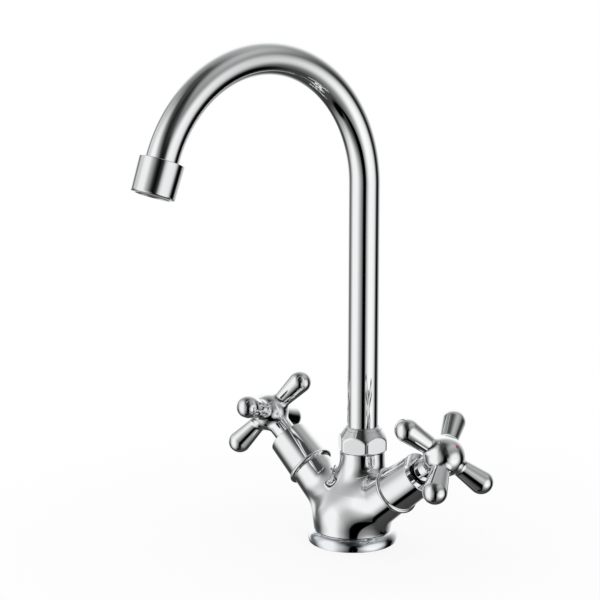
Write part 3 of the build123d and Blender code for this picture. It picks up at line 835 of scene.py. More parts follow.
class Slot(Enum):
    """The record's material slots with their finishes; of two with one name, nodes get the last."""

    BODY = ("chrome_body", ChromeFinish("chrome_on_casting"))
    # The base ring's chrome is tinted blue as painted reflection, for the bluish light that the ring reflects.
    RING = ("chrome_trim", ChromeFinish("chrome_on_base_ring_painted_reflection", (0.94, 0.968, 1.0),
                                        (0.9, 0.935, 0.975), swell_depth=0.00001))
    # This chrome is darker than the casting's as painted shade, for the darker reflections on the nut, the sleeves
    # and the collar.
    TRIM_PAINTED_SHADE = ("chrome_trim", ChromeFinish("chrome_on_turned_brass_painted_shade", (0.94, 0.945, 0.95),
                                        (0.9, 0.905, 0.915), swell_depth=0.00001,
                                        lines=(1, 1, 30)))
    TUBE = ("chrome_tube", ChromeFinish("chrome_on_drawn_tube", swell_depth=0.00002))
    HANDLE = ("chrome_handle", ChromeFinish("chrome_on_handle", swell_size=90.0))
    BRASS = ("raw_brass", MetalFinish("turned_brass", (0.78, 0.62, 0.33), (0.62, 0.45, 0.2)))
    STEEL = ("stainless", MetalFinish("stainless_steel", (0.66, 0.66, 0.67), (0.5, 0.5, 0.52)))
    RUBBER = ("black_rubber", PlainFinish("black_rubber", (0.05, 0.05, 0.052),
                                          (0.025, 0.025, 0.027), 0.6))
    FIBRE = ("fibre", PlainFinish("pressed_fibre", (0.5, 0.24, 0.17), (0.38, 0.16, 0.11), 0.8,
                                  900.0, 0.00006))
    # The white plastic screen is coloured dark grey as painted shade, for the shade inside the spout's mouth.
    SCREEN = ("white_plastic", PlainFinish("acetal_screen_painted_shade", (0.24, 0.24, 0.235),
                                           (0.17, 0.17, 0.165), 0.4))
    PLASTIC = ("white_plastic", PlainFinish("moulded_acetal", (0.82, 0.82, 0.8),
                                            (0.76, 0.76, 0.74), 0.4))
    CERAMIC = ("valve_ceramic", PlainFinish("lapped_ceramic", (0.92, 0.92, 0.9),
                                            (0.88, 0.88, 0.86), 0.22))
    RED = ("red_enamel", PlainFinish("red_enamel", (0.62, 0.03, 0.045), (0.45, 0.015, 0.03),
                                     0.18, coat=0.6))
    BLUE = ("blue_enamel", PlainFinish("blue_enamel", (0.05, 0.14, 0.55), (0.02, 0.08, 0.4),
                                       0.18, coat=0.6))


class Finishes:
    """The materials, made once, and how a piece gets one."""

    def __init__(self) -> None:
        """Makes every material."""
        self.made = {slot: slot.value[1].make() for slot in Slot}

    def dress(self, piece: bpy.types.Object, slot: Slot) -> None:
        """Gives a new piece the material of its slot's finish.

        Args:
            piece: The piece.
            slot: The record's slot and its finish.
        """
        piece.data.materials.clear()
        piece.data.materials.append(self.made[slot])

    def dress_nodes(self) -> None:
        """Gives every node of the construction model the finish of its record slot."""
        by_name = {slot.value[0]: self.made[slot] for slot in Slot}
        plated = {"outlet_bush": self.made[Slot.TUBE]}
        for entry in frame["record"]["subparts"]:
            node = frame["nodes"][entry["node"]]
            for place in node.material_slots:
                place.material = plated.get(entry["node"], by_name[entry["material_slot"]])


# ------------------------------------------------------------------ the tap's pieces


@dataclass(frozen=True)
class BodyCasting:
    """The branched casting: a belly that leans back into the neck, with an arm each side."""

    foot_height: float = 3.0
    foot_diameter: float = 47.6
    ledge_height: float = 8.1
    heights: tuple[float, ...] = (3.0, 9.0, 14.4, 20.0, 26.0, 32.8, 40.7, 47.9, 53.6, 57.7)
    radii: tuple[float, ...] = (25.1, 25.1, 25.7, 25.9, 24.8, 21.8, 17.7, 15.3, 14.6, 14.6)
    leans: tuple[float, ...] = (0.0, 0.0, 0.0, 0.04, 0.18, 0.45, 0.77, 0.95, 1.0, 1.0)
    neck_top: float = 69.1
    neck_thread: float = 23.9
    neck_bore: float = 18.5
    neck_bore_floor: float = 44.1
    arm_start: float = 8.0
    arm_root: float = 31.6
    arm_end: float = 27.4
    arm_face: float = 46.2
    valve_bore: float = 20.2
    valve_seat: float = 26.2
    inlet_spacing: float = 17.0
    inlet_diameter: float = 8.92
    inlet_depth: float = 12.0
    stud_offset: float = 14.2
    stud_diameter: float = 6.8
    stud_depth: float = 14.0
    belly_blend: float = 6.0
    crotch_blend: float = 9.0
    blend_heights: tuple[float, float] = (14.0, 34.0)
    neck_sink: float = 2.0
    mesh_step: float = 0.6
    mesh_margin: float = 1.5

    def riser(self) -> np.ndarray:
        """The foot of the spout's axis."""
        return Place.on_joint("spout_swivel").origin * np.array([1, 1, 0])

    def trunk(self, points: np.ndarray) -> np.ndarray:
        """The field of the belly and the neck.

        Args:
            points: Points on the tap, in millimetres.

        Returns:
            The distance at each point, negative inside.
        """
        radius, swell = Sweep(self.heights, self.radii).at(points[:, 2])
        lean, drift = Sweep(self.heights, self.leans).at(points[:, 2])
        back = self.riser()[1]
        across, along = points[:, 0], points[:, 1] - back * lean
        reach = np.maximum(np.hypot(across, along), 1e-6)
        climb = along / reach * back * drift + swell
        return (reach - radius) / np.sqrt(1 + climb ** 2)

    def arm(self, points: np.ndarray, place: Place) -> np.ndarray:
        """The field of one arm.

        Args:
            points: Points on the tap, in millimetres.
            place: The arm's own frame, with local Z outwards.

        Returns:
            The distance at each point, negative inside.
        """
        local = place.into(points)
        share = np.clip((local[:, 2] - self.arm_start) / (self.arm_face - self.arm_start), 0, 1)
        radius = (self.arm_root + (self.arm_end - self.arm_root) * share) / 2
        side = np.hypot(local[:, 0], local[:, 1]) - radius
        return np.maximum(side, np.maximum(self.arm_start - local[:, 2],
                                           local[:, 2] - self.arm_face))

    def field(self, points: np.ndarray) -> np.ndarray:
        """The whole casting, with its bores.

        Args:
            points: Points on the tap, in millimetres.

        Returns:
            The distance at each point, negative inside.
        """
        places = [ValveAxis(side).crossing() for side in ("hot", "cold")]
        upright = points - self.riser()
        shoulder = self.heights[-1]
        form = np.maximum(self.trunk(points), points[:, 2] - shoulder)
        blend = np.interp(points[:, 2], self.blend_heights, (self.belly_blend, self.crotch_blend))
        for place in places:
            form = meet(form, self.arm(points, place), blend)
        for place in places:
            form = np.maximum(form, self.face_cut(points, place))
        form = np.maximum(form, points[:, 2] - shoulder)
        form = np.minimum(form, bar(upright, self.neck_thread, shoulder - self.neck_sink,
                                    self.neck_top))
        form = np.maximum(form, self.foot_height - points[:, 2])
        outside = np.hypot(points[:, 0], points[:, 1]) - self.foot_diameter / 2
        form = np.maximum(form, np.minimum(self.ledge_height - points[:, 2], outside))
        form = np.maximum(form, -bar(upright, self.neck_bore, self.neck_bore_floor, FAR))
        for place in places:
            form = np.maximum(form, -bar(place.into(points), self.valve_bore, self.valve_seat,
                                         FAR))
        for across, along, diameter, depth in self.ports():
            port = bar(points - np.array([across, along, 0]), diameter, -FAR,
                       self.foot_height + depth)
            form = np.maximum(form, -port)
        return form

    def face_cut(self, points: np.ndarray, place: Place) -> np.ndarray:
        """Keeps the blend from running past an arm's end face, on that arm's side only.

        Args:
            points: Points on the tap, in millimetres.
            place: The arm's own frame, with local Z outwards.

        Returns:
            The distance past the end face, and far inside elsewhere.
        """
        local = place.into(points)
        near = np.hypot(local[:, 0], local[:, 1]) - self.arm_root
        return np.where(near < 0, local[:, 2] - self.arm_face, -FAR)

    def ports(self) -> list[tuple[float, float, float, float]]:
        """Across, along, diameter and depth of the holes in the underside.

        Returns:
            The two inlets and the fixing stud's hole.
        """
        half = self.inlet_spacing / 2
        inlets = [(side * half, 0.0, self.inlet_diameter, self.inlet_depth) for side in (1, -1)]
        return [*inlets, (0.0, self.stud_offset, self.stud_diameter, self.stud_depth)]

    def build(self, finishes: Finishes) -> bpy.types.Object:
        """Meshes and dresses the casting.

        Args:
            finishes: The made materials.

        Returns:
            The casting.
        """
        low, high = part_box("body_casting")
        piece = FieldMesher(self.mesh_step).build("body_shell", self.field,
                                                  [v / MM - self.mesh_margin for v in low],
                                                  [v / MM + self.mesh_margin for v in high])
        finishes.dress(piece, Slot.BODY)
        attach(piece, "faucet_body")
        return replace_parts(piece, "body_casting")


@dataclass(frozen=True)
class BaseRing:
    """The ring under the casting: an upright side that rounds over into the belly."""

    diameter: float = 57.4
    side_height: float = 2.4
    side_draft: float = 0.5
    side_steps: int = 48
    foot_rounding: float = 0.35
    height: float = 7.98
    recess: float = 48.2
    seat: float = 3.0
    bore: float = 36.4
    gasket_outer: float = 50.4
    gasket_inner: float = 41.4
    gasket_depth: float = 1.6

    def side(self) -> list[Corner]:
        """The outside, from the worktop up: nearly upright, then an oval round to the top.

        Returns:
            The corners, each with the way that the oval faces there.
        """
        wide, reach = self.diameter / 2, self.diameter / 2 - self.recess / 2
        rise = self.height - self.side_height
        corners = [Corner(wide - self.side_draft, 0.0, self.foot_rounding)]
        for angle in np.linspace(0, 90, self.side_steps + 1):
            turn = math.radians(angle)
            facing = math.degrees(math.atan2(math.sin(turn) / rise, math.cos(turn) / reach))
            corners.append(Corner(wide - reach + reach * math.cos(turn),
                                  self.side_height + rise * math.sin(turn),
                                  before=facing, after=facing if angle < 90 else None))
        return corners

    def build(self, finishes: Finishes) -> bpy.types.Object:
        """Turns and dresses the ring.

        Args:
            finishes: The made materials.

        Returns:
            The ring.
        """
        outline = [
            *self.side(),
            Corner(self.recess / 2, self.seat),
            Corner(self.bore / 2, self.seat),
            Corner(self.bore / 2, 0.0),
            Corner(self.gasket_inner / 2, 0.0),
            Corner(self.gasket_inner / 2, self.gasket_depth),
            Corner(self.gasket_outer / 2, self.gasket_depth),
            Corner(self.gasket_outer / 2, 0.0),
        ]
        piece = Turning(outline).build("base_bead_ring", GROUND)
        finishes.dress(piece, Slot.RING)
        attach(piece, "faucet_body")
        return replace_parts(piece, "base_ring")


@dataclass(frozen=True)
class SpoutNut:
    """The union nut: six flats, with a cone turned on its foot and a shoulder and crown on top."""

    across_flats: float = 29.5
    corner_rounding: float = 2.9
    bottom: float = 57.9
    height: float = 16.0
    turned_heights: tuple[float, ...] = (0.0, 1.6, 7.0, 9.9, 16.0)
    turned_radii: tuple[float, ...] = (14.75, 17.03, 17.03, 15.43, 10.75)
    lip: float = 1.9
    thread: float = 24.0
    opening: float = 20.2
    first_corner: float = -38.0
    turned_slope: float = 0.75
    turned_edge: float = 0.5
    end_edge: float = 0.3
    mesh_step: float = 0.3
    mesh_margin: float = 1.0

    def hexagon(self, points: np.ndarray) -> np.ndarray:
        """The field of a hexagonal bar with rounded corners, one of them on local X.

        Args:
            points: Points in the piece's own frame, in millimetres.

        Returns:
            The distance at each point, negative inside.
        """
        angle = np.arctan2(points[:, 1], points[:, 0])
        sector = math.radians(60)
        flat = sector * (np.floor(angle / sector) + 0.5)
        out = points[:, 0] * np.cos(flat) + points[:, 1] * np.sin(flat)
        aside = np.abs(points[:, 1] * np.cos(flat) - points[:, 0] * np.sin(flat))
        inset = self.across_flats / 2 - self.corner_rounding
        past = np.maximum(aside - inset * math.tan(sector / 2), 0.0)
        return np.where(out > inset, np.hypot(out - inset, past),
                        out - inset) - self.corner_rounding

    def field(self, points: np.ndarray) -> np.ndarray:
        """The field of the nut in its own frame.

        Args:
            points: Points in the piece's own frame, in millimetres.

        Returns:
            The distance at each point, negative inside.
        """
        radius, height = np.hypot(points[:, 0], points[:, 1]), points[:, 2]
        turned = radius - np.interp(height, self.turned_heights, self.turned_radii)
        form = overlap(self.hexagon(points), turned * self.turned_slope, self.turned_edge)
        form = overlap(form, np.maximum(-height, height - self.height), self.end_edge)
        form = np.maximum(form, -bar(points, self.thread, -FAR, self.height - self.lip))
        return np.maximum(form, -bar(points, self.opening, -FAR, FAR))

    def build(self, finishes: Finishes) -> bpy.types.Object:
        """Meshes and dresses the nut.

        Args:
            finishes: The made materials.

        Returns:
            The nut.
        """
        riser = Place.on_joint("spout_swivel").origin
        origin = np.array([riser[0], riser[1], self.bottom])
        place = Place(origin, np.eye(3)).turned(self.first_corner)
        reach = self.across_flats / math.sqrt(3) + self.mesh_margin
        piece = FieldMesher(self.mesh_step).build(
            "union_nut", self.field, [-reach, -reach, -self.mesh_margin],
            [reach, reach, self.height + self.mesh_margin], place)
        finishes.dress(piece, Slot.TRIM_PAINTED_SHADE)
        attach(piece, "faucet_body")
        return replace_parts(piece, "spout_nut")


@dataclass(frozen=True)
class Spout:
    """The swivel spout: a bent tube and the collar that holds the aerator."""

    tube_diameter: float = 20.0
    tube_wall: float = 1.2
    tube_bottom: float = 73.05
    arc_radius: float = 81.1
    arc_centre: float = 230.3
    arc_sweep: float = 160.0
    tail: float = 9.8
    rest_turn: float = -3.5
    rings: int = 300
    facets: int = 128
    collar_start: float = 1.9
    collar_length: float = 20.7
    collar_top: float = 27.2
    collar_mouth: float = 26.3
    thread: float = 24.0
    bore: float = 23.0
    lip: float = 1.8
    lip_opening: float = 20.4
    mouth_rounding: float = 1.3
    lip_rounding: float = 0.5
    thread_end: float = 11.6
    comb_diameter: float = 22.8
    comb_depth: float = 1.55
    comb_gap: float = 0.05
    comb_pitch: float = 2.9
    comb_wall: float = 0.6
    comb_rows: int = 7
    comb_facets: int = 96

    def riser(self) -> Place:
        """The spout's own frame: local -Y is the way that it points."""
        origin = Place.on_joint("spout_swivel").origin * np.array([1, 1, 0])
        return Place(origin, np.eye(3)).turned(self.rest_turn)

    def outlet(self) -> Place:
        """The frame at the end of the arc, with local Z out of the mouth.

        Returns:
            The frame, whose local X is level.
        """
        turn = math.radians(self.arc_sweep)
        riser = self.riser()
        end = np.array([0, -self.arc_radius * (1 - math.cos(turn)),
                        self.arc_centre + self.arc_radius * math.sin(turn)])
        local = np.array([[1, 0, 0], [0, math.cos(turn), math.sin(turn)],
                          [0, -math.sin(turn), math.cos(turn)]])
        return Place(riser.out(end[None])[0], local @ riser.axes)

    def bend(self) -> Growth:
        """The growth that bends a straight line into the spout's path and skins it.

        Returns:
            The growth, with a size for each part of the path.
        """
        growth = Growth("bent_tube", Riser="Float", Radius="Float", Sweep="Float", Tail="Float",
                        Thickness="Float", Rings="Int", Facets="Int")
        recipe, size = growth.recipe, growth.size
        line = recipe.node("GeometryNodeCurvePrimitiveLine", {}, {
            "Start": (0, 0, 0), "End": (0, 0, 1)})
        line = recipe.node("GeometryNodeResampleCurve", {}, {"Curve": line, "Count": size["Rings"]})
        share = recipe.node("GeometryNodeSplineParameter", output="Factor")
        straight = size["Riser"]
        bend = size["Radius"] * size["Sweep"]
        run = share * (straight + bend + size["Tail"])
        over = (run - straight).most(0.0).least(bend)
        on = (run - straight - bend).most(0.0)
        angle = over / size["Radius"]
        sine, cosine = angle.sine(), angle.cosine()
        forward = size["Radius"] * (1 - cosine) + on * sine
        height = run.least(straight) + size["Radius"] * sine + on * cosine
        spot = recipe.node("ShaderNodeCombineXYZ", {}, {"Y": 0 - forward, "Z": height})
        line = recipe.node("GeometryNodeSetPosition", {}, {"Geometry": line, "Position": spot})
        ring = recipe.node("GeometryNodeCurvePrimitiveCircle", {}, {
            "Resolution": size["Facets"], "Radius": size["Thickness"] / 2})
        skin = recipe.node("GeometryNodeCurveToMesh", {}, {"Curve": line, "Profile Curve": ring})
        growth.close(recipe.node("GeometryNodeSetShadeSmooth", {}, {"Geometry": skin}))
        return growth

    def tube(self, finishes: Finishes) -> bpy.types.Object:
        """Makes the bent tube along its path.

        Args:
            finishes: The made materials.

        Returns:
            The tube, open at both ends.
        """
        piece = self.bend().make(
            "bent_tube", self.riser().moved(self.tube_bottom), self.tube_wall,
            Riser=(self.arc_centre - self.tube_bottom) * MM, Radius=self.arc_radius * MM,
            Sweep=math.radians(self.arc_sweep), Tail=self.tail * MM,
            Thickness=self.tube_diameter * MM, Rings=self.rings, Facets=self.facets,
            Finish=finishes.made[Slot.TUBE])
        finishes.dress(piece, Slot.TUBE)
        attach(piece, "spout")
        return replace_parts(piece, "spout_tube")

    def comb(self) -> Growth:
        """The growth that cuts rows of six-sided cells through a round screen.

        Returns:
            The growth, with the screen's and the cells' sizes.
        """
        growth = Growth("honeycomb", Screen="Float", Thickness="Float", Pitch="Float",
                        Wall="Float", Reach="Float", Rows="Int")
        recipe, size = growth.recipe, growth.size
        number = recipe.node("GeometryNodeInputIndex")
        row = (number / size["Rows"]).floor() - (size["Rows"] / 2).floor()
        column = number % size["Rows"] - (size["Rows"] / 2).floor()
        spot = recipe.node("ShaderNodeCombineXYZ", {}, {
            "X": (column + (row % 2) * 0.5) * size["Pitch"],
            "Y": row * size["Pitch"] * math.sqrt(0.75)})
        points = recipe.node("GeometryNodePoints", {}, {
            "Count": size["Rows"] * size["Rows"], "Position": spot})
        away = recipe.node("ShaderNodeVectorMath", {"operation": "LENGTH"}, {
            0: recipe.node("GeometryNodeInputPosition")}, "Value")
        outside = recipe.node("FunctionNodeCompare", {"operation": "GREATER_THAN"}, {
            0: away, 1: size["Reach"]})
        points = recipe.node("GeometryNodeDeleteGeometry", {}, {
            "Geometry": points, "Selection": outside})
        corner = (size["Pitch"] - size["Wall"]) * (0.5 / math.cos(math.radians(30)))
        cell = recipe.node("GeometryNodeMeshCylinder", {}, {
            "Vertices": 6, "Radius": corner, "Depth": size["Thickness"] * 3})
        cells = recipe.node("GeometryNodeInstanceOnPoints", {}, {
            "Points": points, "Instance": cell, "Rotation": (0, 0, math.radians(30))})
        cells = recipe.node("GeometryNodeRealizeInstances", {}, {"Geometry": cells})
        screen = recipe.node("GeometryNodeMeshCylinder", {}, {
            "Vertices": self.comb_facets, "Radius": size["Screen"] / 2,
            "Depth": size["Thickness"]})
        growth.close(recipe.node("GeometryNodeMeshBoolean", {"operation": "DIFFERENCE"}, {
            "Mesh 1": screen, "Mesh 2": cells}))
        return growth

    def screen(self, finishes: Finishes) -> bpy.types.Object:
        """Makes the honeycomb that fills the mouth.

        Args:
            finishes: The made materials.

        Returns:
            The screen.
        """
        lip = self.collar_start + self.collar_length - self.lip
        middle = lip - self.comb_gap - self.comb_depth / 2
        piece = self.comb().make(
            "honeycomb_screen", self.outlet().moved(middle), Screen=self.comb_diameter * MM,
            Thickness=self.comb_depth * MM, Pitch=self.comb_pitch * MM, Wall=self.comb_wall * MM,
            Reach=(self.comb_diameter / 2 - self.comb_pitch) * MM, Rows=2 * self.comb_rows + 1,
            Finish=finishes.made[Slot.SCREEN])
        finishes.dress(piece, Slot.SCREEN)
        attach(piece, "spout")
        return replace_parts(piece, "aerator_screen")

    def collar(self, finishes: Finishes) -> bpy.types.Object:
        """Turns the collar at the mouth.

        Args:
            finishes: The made materials.

        Returns:
            The collar.
        """
        top, mouth = self.collar_start, self.collar_start + self.collar_length
        outline = [
            Corner(self.thread / 2, top, rounding=0.15),
            Corner(self.collar_top / 2, top, rounding=0.45),
            Corner(self.collar_mouth / 2, mouth, self.mouth_rounding),
            Corner(self.lip_opening / 2, mouth, self.lip_rounding),
            Corner(self.lip_opening / 2, mouth - self.lip, rounding=0.1),
            Corner(self.bore / 2, mouth - self.lip),
            Corner(self.bore / 2, self.thread_end),
            Corner(self.thread / 2, self.thread_end),
        ]
        piece = Turning(outline).build("aerator_collar", self.outlet())
        finishes.dress(piece, Slot.TRIM_PAINTED_SHADE)
        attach(piece, "spout")
        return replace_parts(piece, "aerator_housing")

    def build(self, finishes: Finishes) -> list[bpy.types.Object]:
        """Makes the spout's shown pieces."""
        return [self.tube(finishes), self.collar(finishes), self.screen(finishes)]


@dataclass(frozen=True)
class ValveSleeve:
    """The sleeve and its beaded flange, which hide the valve."""

    side: str
    face: float = 46.2
    flange: float = 31.8
    flange_thickness: float = 2.8
    root: float = 28.8
    mouth: float = 26.8
    end: float = 73.6
    opening: float = 18.6
    cover_top: float = 67.25
    cover_bottom: float = 66.05
    cover_bore: float = 15.3
    thread: float = 18.0
    web_bottom: float = 58.0
    web_slope: float = 1.0
    throat: float = 23.0

    def build(self, finishes: Finishes) -> bpy.types.Object:
        """Turns and dresses the sleeve.

        Args:
            finishes: The made materials.

        Returns:
            The sleeve.
        """
        half = self.flange_thickness / 2
        flange_top = self.face + self.flange_thickness
        outline = [
            Corner(self.throat / 2, self.face),
            *bead((self.flange / 2 - half, self.face + half), half, -90, 90),
            Corner(self.root / 2, flange_top, rounding=0.15),
            Corner(self.mouth / 2, self.end, rounding=0.55),
            Corner(self.opening / 2, self.end, rounding=0.3),
            Corner(self.opening / 2, self.cover_top, rounding=0.2),
            Corner(self.cover_bore / 2, self.cover_top, rounding=0.2),
            Corner(self.cover_bore / 2, self.cover_bottom),
            Corner(self.thread / 2, self.cover_bottom),
            Corner(self.thread / 2, self.web_bottom),
            Corner(self.throat / 2, self.web_bottom - self.web_slope),
        ]
        piece = Turning(outline).build(f"{self.side}_sleeve", ValveAxis(self.side).crossing())
        finishes.dress(piece, Slot.TRIM_PAINTED_SHADE)
        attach(piece, "faucet_body")
        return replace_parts(piece, f"{self.side}_valve_sleeve")


@dataclass(frozen=True)
class CrossHandle:
    """A ball hub on a stem, with four clubs, an index cap and a coloured dot."""

    side: str
    rest_angle: float
    dot_slot: Slot
    hub: float = 25.6
    stem: float = 14.7
    stem_length: float = 28.95
    reach: float = 29.3
    bulb: float = 15.4
    arm_root: float = 11.2
    arms: int = 4
    arm_inner_end: float = 4.0
    root_blend: float = 2.3
    bores: tuple[tuple[float, float, float], ...] = (
        (12.6, -FAR, -28.35), (8.1, -FAR, -8.2), (5.4, -8.5, -3.2), (9.4, -4.2, 7.0))
    clearance: float = 0.05
    cap: float = 13.0
    cap_seat: float = 6.0
    cap_edge: float = 0.04
    cap_lap: float = 0.4
    cap_rise: float = 0.02
    dot: float = 2.2
    dot_depth: float = 1.2
    dot_gap: float = 0.04
    dot_sink: float = 0.06
    mesh_step: float = 0.36
    mesh_margin: float = 1.0

    def place(self) -> Place:
        """The hub's frame, turned so that the first arm lies on local X."""
        return ValveAxis(self.side).hub().turned(self.rest_angle)

    def club(self, points: np.ndarray) -> np.ndarray:
        """The field of the arms: each a cone that runs tangent into its bulb.

        Args:
            points: Points in the piece's own frame, in millimetres.

        Returns:
            The distance at each point, negative inside.
        """
        sector = 2 * math.pi / self.arms
        angle = np.arctan2(points[:, 1], points[:, 0])
        folded = angle - sector * np.round(angle / sector)
        flat = np.hypot(points[:, 0], points[:, 1])
        along, side = flat * np.cos(folded), np.hypot(flat * np.sin(folded), points[:, 2])
        bulb, root = self.bulb / 2, self.arm_root / 2
        start = math.sqrt((self.hub / 2) ** 2 - root ** 2)
        run = self.reach - start
        slope = math.asin(bulb / math.hypot(run, root)) - math.atan(root / run)
        touch = self.reach - bulb * math.sin(slope)
        cone = (side - root) * math.cos(slope) - (along - start) * math.sin(slope)
        ball = np.hypot(along - self.reach, side) - bulb
        return np.where(along > touch, ball, cone)

    def field(self, points: np.ndarray) -> np.ndarray:
        """The field of the handle in the hub's frame.

        Args:
            points: Points in the piece's own frame, in millimetres.

        Returns:
            The distance at each point, negative inside.
        """
        hub = np.linalg.norm(points, axis=1) - self.hub / 2
        stem = bar(points, self.stem, -self.stem_length, 0.0)
        form = meet(hub, stem, self.root_blend)
        inside = self.arm_inner_end - np.hypot(points[:, 0], points[:, 1])
        form = meet(form, np.maximum(self.club(points), inside), self.root_blend)
        for diameter, low, high in self.bores:
            form = np.maximum(form, -bar(points, diameter, low, high))
        return overlap(form, -bar(points, self.cap, self.cap_seat, FAR), self.cap_edge)

    def build(self, finishes: Finishes) -> list[bpy.types.Object]:
        """Makes the cross, the cap and the dot.

        Args:
            finishes: The made materials.

        Returns:
            The three pieces.
        """
        place = self.place()
        wide = self.reach + self.bulb / 2 + self.mesh_margin
        cross = FieldMesher(self.mesh_step).build(
            f"{self.side}_cross", self.field,
            [-wide, -wide, -self.stem_length - self.mesh_margin],
            [wide, wide, self.hub / 2 + self.mesh_margin], place)
        pieces = [(cross, Slot.HANDLE, "cross_handle"),
                  (self.cap_piece(place), Slot.HANDLE, "index_cap"),
                  (self.dot_piece(place), self.dot_slot, "index_dot")]
        for piece, slot, node in pieces:
            finishes.dress(piece, slot)
            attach(piece, f"{self.side}_handle")
            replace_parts(piece, f"{self.side}_{node}")
        return [piece for piece, _, _ in pieces]

    def dome(self, inner: float, outer: float) -> list[Corner]:
        """The cap's face between two radii, from the outer one inwards.

        Args:
            inner: The face's inner radius.
            outer: Its outer radius.

        Returns:
            The corners, each with the way that the ball faces there.
        """
        ball = self.hub / 2 + self.cap_rise
        return bead((0.0, 0.0), ball, math.degrees(math.acos(outer / ball)),
                    math.degrees(math.acos(inner / ball)))

    def cap_piece(self, place: Place) -> bpy.types.Object:
        """The domed cap, whose thin edge laps over its bore, with a seat for the dot.

        Args:
            place: The hub's frame.

        Returns:
            The cap.
        """
        edge = self.cap / 2 + self.cap_lap
        wall = self.cap / 2 - self.clearance
        seat = self.hub / 2 - self.dot_depth
        foot = self.cap_seat + self.clearance
        under = math.sqrt((self.hub / 2) ** 2 - edge ** 2) - self.clearance
        outline = [Corner(0.0, foot), Corner(wall, foot), Corner(wall, under), Corner(edge, under),
                   *self.dome(self.dot / 2, edge), Corner(self.dot / 2, seat), Corner(0.0, seat)]
        return Turning(outline, segments=160).build(f"{self.side}_cap", place)

    def dot_piece(self, place: Place) -> bpy.types.Object:
        """The enamel dot, whose face is slightly sunk.

        Args:
            place: The hub's frame.

        Returns:
            The dot.
        """
        edge = self.dot / 2 - self.dot_gap
        seat = self.hub / 2 - self.dot_depth + self.clearance
        top = math.sqrt((self.hub / 2) ** 2 - edge ** 2) - self.dot_sink
        outline = [Corner(0.0, seat), Corner(edge, seat), Corner(edge, top, rounding=0.1),
                   Corner(edge * 0.5, top + 0.04, rounding=0.3), Corner(0.0, top + 0.05)]
        return Turning(outline, segments=48).build(f"{self.side}_dot", place)


# ------------------------------------------------------------------ the studio


@dataclass(frozen=True)
class Panel:
    """An oval of light or dark in the surround, in degrees.

    The azimuth is counted from the way to the camera, to the camera's right.
    """

    azimuth: float
    elevation: float
    half_width: float
    half_height: float
    softness: float
    strength: float
    dark: bool = False

    def share(self, recipe: Recipe, azimuth: Wire, elevation: Wire) -> Wire:
        """How strongly the panel is met in a direction.

        Args:
            recipe: The world's recipe.
            azimuth: The direction's azimuth in degrees.
            elevation: The direction's elevation in degrees.

        Returns:
            Its strength in the middle, fading to 0 at its edge.
        """
        turn = (azimuth + (540 - self.azimuth)) % 360 - 180  # from -180 to 180
        across = turn / self.half_width
        up = (elevation - self.elevation) / self.half_height
        return recipe.node("ShaderNodeMapRange", {"interpolation_type": "SMOOTHSTEP"}, {
            "Value": (across * across + up * up).root(), "From Min": 1 - self.softness,
            "From Max": 1 + self.softness, "To Min": self.strength, "To Max": 0.0})


class Surround(Enum):
    """What the mirror finish reflects: the softboxes first, then the flags before them."""

    LEFT_BOX = Panel(-78, -4, 57, 55, 0.38, 0.6)
    LEFT_HEART = Panel(-66, 1, 24, 53, 0.45, 0.29)
    RIGHT_BOX = Panel(49, -24, 36, 29, 0.9, 0.36)
    RIGHT_HEART = Panel(58, -7, 33, 29, 0.5, 0.62)
    UPPER_BOX = Panel(58, 36, 52, 30, 0.4, 0.20)
    BACKDROP = Panel(-176, 9, 50, 38, 0.6, 1.0)
    BACK_CEILING = Panel(158, 57, 88, 24, 0.9, 0.36)
    CAMERA_GAP = Panel(3, -32, 12.4, 50, 0.22, 1.0, dark=True)
    UNDER_GAP = Panel(-40, -72, 48, 9, 0.35, 1.0, dark=True)
    CAMERA_SHADE = Panel(5, 40, 20, 28, 0.5, 0.75, dark=True)
    NEAR_SHADE = Panel(13, 15, 13, 11, 0.5, 0.7, dark=True)
    RIGHT_FLAG = Panel(114, -27, 13, 25, 0.35, 0.97, dark=True)
    RIGHT_EDGE = Panel(103, -4, 9, 15, 0.6, 0.8, dark=True)
    LEFT_FLAG = Panel(-118, -14, 16, 24, 0.7, 0.8, dark=True)
    LOW_LEFT_FLAG = Panel(-142, -30, 26, 13, 0.45, 0.8, dark=True)
    HIGH_LEFT_FLAG = Panel(-128, 14, 9, 24, 0.6, 0.7, dark=True)


